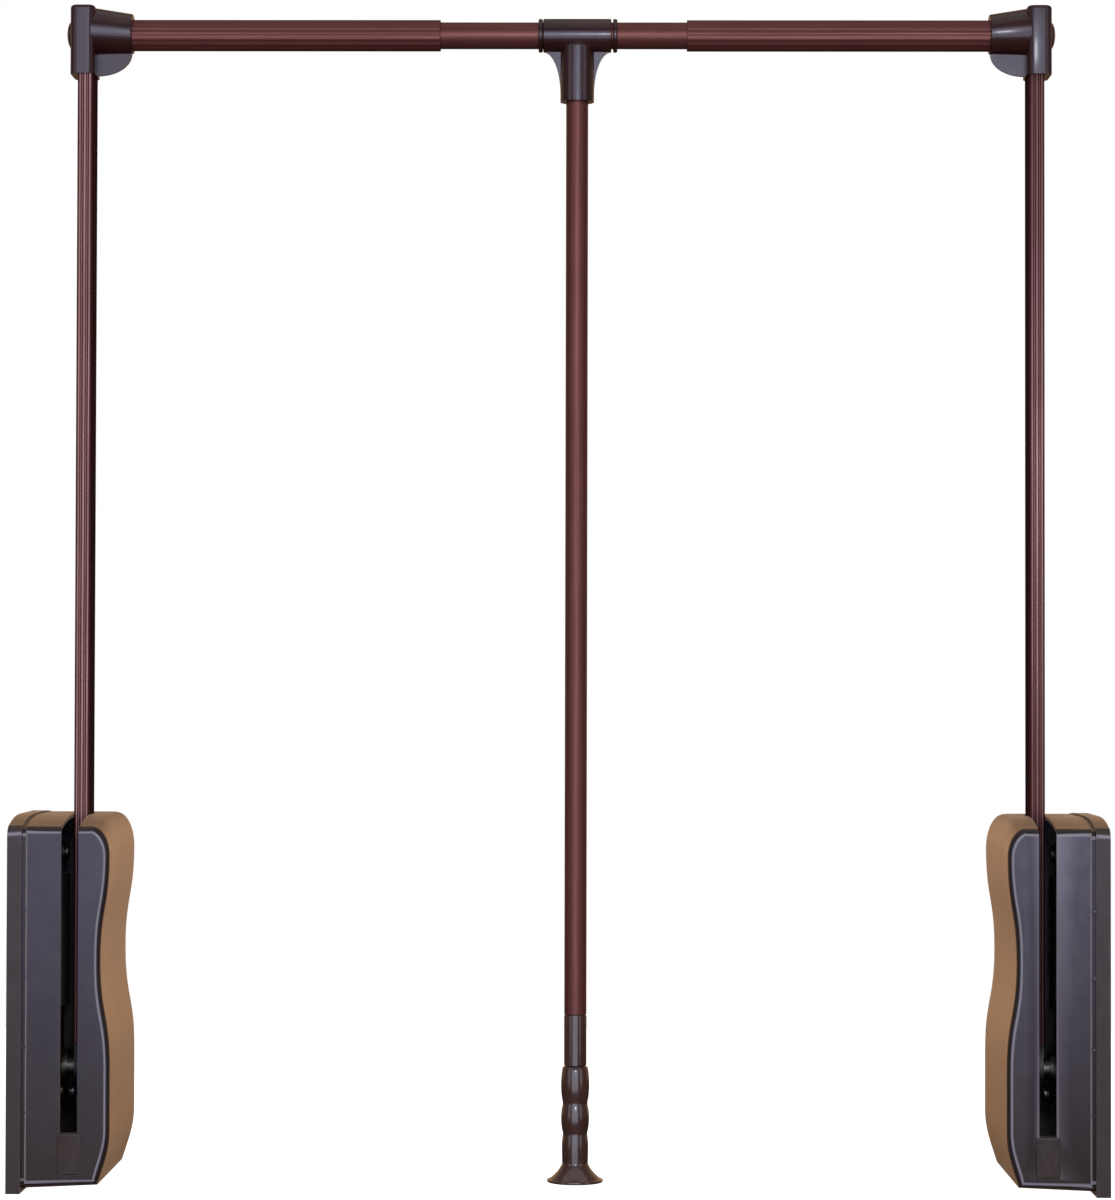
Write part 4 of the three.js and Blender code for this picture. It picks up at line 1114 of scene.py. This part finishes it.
def corner_connector():
    body = join(sleeve_body(), rod_barrel(), fin())
    body = bevelled(body, MOULD_FILLET, MOULD_BEVEL_FROM, FILLET_STEPS)
    socket_floor = SLEEVE_HIGH.x - ROD_SOCKET_DEPTH
    arm_socket = prism("z", arm_section(BORE_GAP), SLEEVE_LOW.z - OVERRUN, ARM_HIGH.z + BORE_GAP)
    rod_socket = bar("x", OUTER_RADIUS + BORE_GAP, socket_floor, SLEEVE_HIGH.x + OVERRUN)
    bolt_hole = bar("x", BOLT_HOLE_RADIUS, SLEEVE_LOW.x - OVERRUN, socket_floor + OVERRUN)
    cap_pocket = bar("x", CAP_POCKET_RADIUS, SLEEVE_LOW.x - OVERRUN, SLEEVE_LOW.x + CAP_POCKET_DEPTH)
    bores = [moved(bore, z=ROD_HEIGHT) for bore in (rod_socket, bolt_hole, cap_pocket)]
    return smoothed(cut(body, moved(arm_socket, x=ARM_CENTRE), *bores), plain_flats=True)


def connector_cap():
    radius = (CAP_HIGH.z - CAP_LOW.z) / 2
    back = CAP_HIGH.x - CAP_SPIGOT
    dome = back - CAP_LOW.x
    spigot = CAP_POCKET_RADIUS - BORE_GAP
    profile = [(radius * sin(turn), back - dome * cos(turn)) for turn in quarter_turns(CURVE)]
    profile += [(spigot, back), (spigot, CAP_HIGH.x), (0, CAP_HIGH.x)]
    return smoothed(moved(turned("x", profile), z=ROD_HEIGHT))


# Tee with its rings

def tee_barrel():
    """The short barrel round the rod, with round end edges."""
    radius = TEE_HIGH.z - ROD_HEIGHT
    ends = [
        (radius - TEE_END_RADIUS * (1 - cos(turn)), TEE_HALF - TEE_END_RADIUS * (1 - sin(turn)))
        for turn in quarter_turns(2)
    ]
    profile = [(0, -TEE_HALF)] + [(r, -x) for r, x in reversed(ends)] + ends + [(0, TEE_HALF)]
    return moved(turned("x", profile), TEE_CENTRE, z=ROD_HEIGHT)


def tee_socket():
    """The upright socket for the pole, with a domed top."""
    dome_start = ROD_HEIGHT - TEE_DOME_TOP - TEE_DOME
    profile = [(0, TEE_LOW.z), (TEE_SOCKET_RADIUS, TEE_LOW.z)]
    for turn in quarter_turns(CURVE):
        profile.append((TEE_SOCKET_RADIUS * cos(turn), dome_start + TEE_DOME * sin(turn)))
    return moved(turned("z", profile), TEE_CENTRE, -TEE_SOCKET_FORWARD)


def tee_webs():
    """The thin webs in both corners between barrel and socket."""
    top = ROD_HEIGHT - TEE_WEB_TOP
    foot = ROD_HEIGHT - TEE_WEB_FOOT
    web = [(-TEE_WEB_SPAN, ROD_HEIGHT)]
    for turn in quarter_turns(2 * CURVE):
        x = -TEE_WEB_SPAN + (TEE_WEB_SPAN - TEE_SOCKET_RADIUS) * sin(turn)
        web.append((x, foot + (top - foot) * cos(turn)))
    web.append((EDGE - TEE_SOCKET_RADIUS, TEE_LOW.z + EDGE))
    web += [(-x, z) for x, z in reversed(web)]
    return moved(prism("y", web, -TEE_WEB_THICKNESS / 2, TEE_WEB_THICKNESS / 2), TEE_CENTRE)


def screw_hole(reach):
    """The hole for the tee screw, from the middle of the pole to the back."""
    return moved(bar("y", TEE_SCREW_HOLE, 0, reach + OVERRUN), z=ROD_HEIGHT - TEE_SCREW_DROP)


def tee_connector():
    body = join(tee_barrel(), tee_socket(), tee_webs())
    body = bevelled(body, MOULD_FILLET, MOULD_BEVEL_FROM, FILLET_STEPS)
    rod_bore = bar("x", INNER_RADIUS + BORE_GAP, -TEE_HALF - OVERRUN, TEE_HALF + OVERRUN)
    pole_bore = bar("z", POLE_RADIUS + BORE_GAP, TEE_LOW.z - OVERRUN, ROD_HEIGHT - TEE_SOCKET_FLOOR)
    holes = (moved(rod_bore, z=ROD_HEIGHT), pole_bore, screw_hole(TEE_SOCKET_RADIUS))
    return smoothed(cut(body, *(moved(hole, TEE_CENTRE) for hole in holes)), plain_flats=True)


def tee_ring(side):
    low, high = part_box(f"tee_ring_{side}")
    bore = INNER_RADIUS + BORE_GAP
    radius = (high.z - low.z) / 2
    middle = (low.x + high.x) / 2
    half = (high.x - low.x) / 2
    outline = [
        (radius - half * (1 - cos(turn)) * TEE_RING_DOME_SHARE, middle + half * sin(turn))
        for turn in quarter_turns(quarter=-1) + quarter_turns()[1:]
    ]
    profile = [(bore, low.x)] + outline + [(bore, high.x), (bore, low.x)]
    ring = solid([hoop("x", r, place) for r, place in profile], closed_ends=False)
    return smoothed(moved(ring, z=ROD_HEIGHT))


# Pull pole

def pole_tube():
    pole = tube("z", circle(POLE_RADIUS), circle(POLE_RADIUS - POLE_WALL), POLE_LOW.z, POLE_HIGH.z)
    return smoothed(moved(cut(pole, screw_hole(POLE_RADIUS)), POLE_CENTRE), TUBE_CREASE)


def handle_ferrule():
    low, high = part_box("handle_ferrule")
    radius = (high.x - low.x) / 2
    lower_radius, upper_radius = FERRULE_SPIGOT_RADII
    start = low.z + FERRULE_SPIGOTS[0]
    end = high.z - FERRULE_SPIGOTS[1]
    profile = [
        (0, low.z),
        (lower_radius, low.z),
        (lower_radius, start),
        (radius - FERRULE_EDGE, start),
        (radius, start + FERRULE_EDGE),
        (radius, end - FERRULE_EDGE),
        (radius - FERRULE_EDGE, end),
        (upper_radius, end),
        (upper_radius, high.z),
        (0, high.z),
    ]
    return smoothed(moved(turned("z", profile), POLE_CENTRE), TURNED_CREASE)


def grip_profile():
    """The grip from its top: three swellings, then a flare out to a thin rim."""
    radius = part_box("handle_grip")[1].x - POLE_CENTRE
    height = GRIP_BULGES[0][1]
    profile = [(0, height), (GRIP_TOP_RADIUS - FERRULE_EDGE, height)]
    necks = [GRIP_TOP_RADIUS] + [GRIP_NECK_RADIUS] * (len(GRIP_BULGES) - 1) + [GRIP_LOW_NECK_RADIUS]
    for (bulge, top, bottom), upper, lower in zip(GRIP_BULGES, necks, necks[1:]):
        for i in range(CURVE):
            share = (i + 0.5) / CURVE
            neck = upper + (lower - upper) * share
            profile.append((neck + (bulge - neck) * sqrt(sin(pi * share)), top + (bottom - top) * share))
    neck_height = GRIP_BULGES[-1][2]
    for i in range(CURVE + 1):
        share = i / CURVE
        bow = GRIP_FLARE_BOW * sin(pi * share)
        flare = GRIP_LOW_NECK_RADIUS + (GRIP_FLARE_RADIUS - GRIP_LOW_NECK_RADIUS) * share - bow
        profile.append((flare, neck_height - (neck_height - GRIP_RIM_HEIGHT) * share))
    profile += [
        (radius - EDGE, GRIP_RIM_HEIGHT),
        (radius, GRIP_RIM_HEIGHT - EDGE),
        (radius, EDGE),
        (radius - EDGE, 0),
        (GRIP_RECESS_RADIUS + GRIP_RECESS, 0),
        (GRIP_RECESS_RADIUS, GRIP_RECESS),
        (0, GRIP_RECESS),
    ]
    return profile


def handle_grip():
    top = GRIP_BULGES[0][1]
    bore_floor = top - FERRULE_SPIGOTS[0] - BORE_GAP
    bore = bar("z", FERRULE_SPIGOT_RADII[0] + BORE_GAP, bore_floor, top + OVERRUN)
    return smoothed(moved(cut(turned("z", grip_profile()), bore), POLE_CENTRE), TURNED_CREASE)


# What keeps its plain solid, with welded corners, small roundings and smooth shading

CARRIED_OVER = {
    "base_tray": ("tray_plastic", TRAY_EDGE),
    "stop_buffer": ("buffer_rubber", EDGE),
    "mechanism_bracket": ("dark_steel", EDGE),
    "bracket_screw_upper": ("plated_steel", PIN_EDGE),
    "bracket_screw_lower": ("plated_steel", PIN_EDGE),
    "pivot_bolt": ("plated_steel", EDGE),
    "pivot_nut": ("plated_steel", EDGE),
    "pivot_bush": ("dark_steel", PIN_EDGE),
    "strut_anchor_pin": ("plated_steel", PIN_EDGE),
    "strut_barrel": ("dark_steel", EDGE),
    "strut_rod": ("plated_steel", PIN_EDGE),
    "arm_foot": ("dark_steel", FOOT_EDGE),
    "foot_rivet": ("plated_steel", RIVET_EDGE),
    "crank_lever": ("plated_steel", EDGE),
    "crank_pin": ("plated_steel", PIN_EDGE),
    "connector_bolt": ("plated_steel", PIN_EDGE),
    "rod_plug": ("nylon", PIN_EDGE),
}


def refined(node, material, rounding):
    """Welds, rounds and shades a CAD node without changing its own mesh."""
    obj = frame["nodes"][node]
    obj.data.materials.clear()
    obj.data.materials.append(MATERIALS[material])
    for polygon in obj.data.polygons:
        polygon.use_smooth = True
        polygon.material_index = 0
    obj.modifiers.new("weld", "WELD").merge_threshold = WELD
    add_bevel(obj, rounding, SOLID_BEVEL_FROM)
    obj.modifiers.new("split", "EDGE_SPLIT").split_angle = radians(CREASE)
    obj.modifiers.new("flats", "WEIGHTED_NORMAL").keep_sharp = True


for side in WALLS:
    for name, (material, rounding) in CARRIED_OVER.items():
        refined(f"{side}_{name}", material, rounding)
refined("tee_screw", "plated_steel", EDGE)

on_both_walls(side_cover(), "side_cover", "housing_plastic")
on_both_walls(arm_tube(), "arm_tube", "arm_aluminium")
on_both_walls(corner_connector(), "corner_connector", "gloss_plastic")
on_both_walls(connector_cap(), "connector_cap", "gloss_plastic")
for side in WALLS:
    dressed(outer_tube(*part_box(f"{side}_outer_tube")), f"{side}_outer_tube", "brown_aluminium_x")
    dressed(tee_ring(side), f"tee_ring_{side}", "gloss_plastic")
dressed(inner_tube(), "inner_tube", "brown_aluminium_x")
dressed(tee_connector(), "tee_connector", "gloss_plastic")
dressed(pole_tube(), "pole_tube", "brown_aluminium_z")
dressed(handle_ferrule(), "handle_ferrule", "grip_plastic")
dressed(handle_grip(), "handle_grip", "grip_plastic")


# Floor, light and camera

FLOOR_HALF = 12.0
FLOOR_DROP = 1.1
FLOOR_SHADES = (colour(250, 250, 250), colour(253, 253, 253))
FLOOR_BOUNCE = (0.16, 0.12, 0.10, 1.0)
ROOM_POWER = 0.55
ROOM_FRONT = (0.22, 0.22, 0.26, 1.0)

# The tints of the room: an axis, where along it a tint starts and is full, and the tint
ROOM = (
    ("Y", (-0.5, 0.2), (0.36, 0.32, 0.32, 1.0)),
    ("Y", (0.2, 0.95), (0.95, 0.58, 0.33, 1.0)),
    ("Z", (0.3, 0.95), (0.18, 0.13, 0.10, 1.0)),
)

# The soft light from the ceiling
CEILING_DIRECTION = (0, 0.12, -1)
CEILING_POWER = 0.5
CEILING_SOFTNESS = 70
CEILING_TINT = (1.0, 0.98, 0.96)

# Each lamp: its place, where it aims, its width and height, its power and its tint
COOL_LIGHT = (0.9, 0.93, 1.0)
WARM_LIGHT = (1.0, 0.96, 0.94)
AREA_LIGHTS = {
    "front": ((-0.1, -3.05, 0.65), (0.0, 0, 0.65), (3.0, 2.6), 46, COOL_LIGHT),
    "brow": ((0.25, -2.9, 0.95), (0.1, 0, 0.4), (0.45, 0.4), 14, COOL_LIGHT),
    "left strip": ((-2.1, -1.7, 0.9), (0, 0, 0.4), (0.9, 2.4), 7, WARM_LIGHT),
    "right strip": ((2.1, -1.7, 0.9), (0, 0, 0.4), (0.9, 2.4), 7, WARM_LIGHT),
}


def make_floor():
    """The closet floor below the lowered pole: white to the camera, and dim to all that it lights."""
    top = -FLOOR_DROP
    floor = block((-FLOOR_HALF, -FLOOR_HALF, top - OVERRUN), (FLOOR_HALF, FLOOR_HALF, top))
    floor.name = "floor"
    finish = Finish("pale_floor", roughness=0.9)
    seen = finish.mottled(0.8, 2, FLOOR_SHADES)
    sight = finish.node("ShaderNodeLightPath").outputs["Is Camera Ray"]
    finish.steer("Base Color", finish.blend(sight, FLOOR_BOUNCE, seen))
    finish.steer("Emission Strength", sight)
    finish.set("Emission Color", WHITE)
    finish.set("Specular IOR Level", 0.0)
    floor.data.materials.append(finish.material)


def lamp_towards(kind, name, direction, power, tint):
    lamp = bpy.data.lights.new(name, kind)
    lamp.energy = power
    lamp.color = tint
    obj = bpy.data.objects.new(name, lamp)
    obj.rotation_euler = Vector(direction).to_track_quat("-Z", "Y").to_euler()
    bpy.context.scene.collection.objects.link(obj)
    return obj


def make_room():
    """White towards the camera; all else sees a soft room, warm behind the part and cool before it."""
    world = bpy.data.worlds.new("studio")
    world.use_nodes = True
    studio = Nodes(world.node_tree)
    directions = studio.parts(studio.node("ShaderNodeTexCoord").outputs["Generated"])
    room = ROOM_FRONT
    for axis, limits, tint in ROOM:
        room = studio.blend(studio.share(directions[axis], limits, "SMOOTHSTEP"), room, tint)
    background = world.node_tree.nodes["Background"]
    studio.link(room, background.inputs["Color"])
    background.inputs["Strength"].default_value = ROOM_POWER
    backdrop = studio.node("ShaderNodeBackground", {"Color": WHITE})
    choice = studio.node("ShaderNodeMixShader")
    studio.link(studio.node("ShaderNodeLightPath").outputs["Is Camera Ray"], choice.inputs["Fac"])
    studio.link(background.outputs["Background"], choice.inputs[1])
    studio.link(backdrop.outputs["Background"], choice.inputs[2])
    studio.link(choice.outputs["Shader"], world.node_tree.nodes["World Output"].inputs["Surface"])
    bpy.context.scene.world = world


def make_light():
    ceiling = lamp_towards("SUN", "ceiling", CEILING_DIRECTION, CEILING_POWER, CEILING_TINT)
    ceiling.data.angle = radians(CEILING_SOFTNESS)
    for name, (place, target, size, power, tint) in AREA_LIGHTS.items():
        lamp = lamp_towards("AREA", name, Vector(target) - Vector(place), power, tint)
        lamp.location = place
        lamp.visible_camera = False
        lamp.data.shape = "RECTANGLE"
        lamp.data.size, lamp.data.size_y = size


def make_camera():
    data = bpy.data.cameras.new("camera")
    data.sensor_width = SENSOR * MILLIMETRES
    data.sensor_fit = "AUTO"
    data.lens = SENSOR * MILLIMETRES * FOCAL_PIXELS / PHOTO_HEIGHT
    data.clip_start, data.clip_end = CAMERA_CLIP
    camera = bpy.data.objects.new("camera", data)
    camera.location = CAMERA_PLACE
    turn = Matrix.Rotation(-CAMERA_YAW, 4, "Z")
    tilt = Matrix.Rotation(pi / 2 + CAMERA_PITCH, 4, "X")
    roll = Matrix.Rotation(CAMERA_ROLL, 4, "Z")
    camera.rotation_euler = (turn @ tilt @ roll).to_euler()
    bpy.context.scene.collection.objects.link(camera)
    bpy.context.scene.camera = camera


make_floor()
make_room()
make_light()
make_camera()
bpy.context.scene.view_settings.view_transform = "Standard"
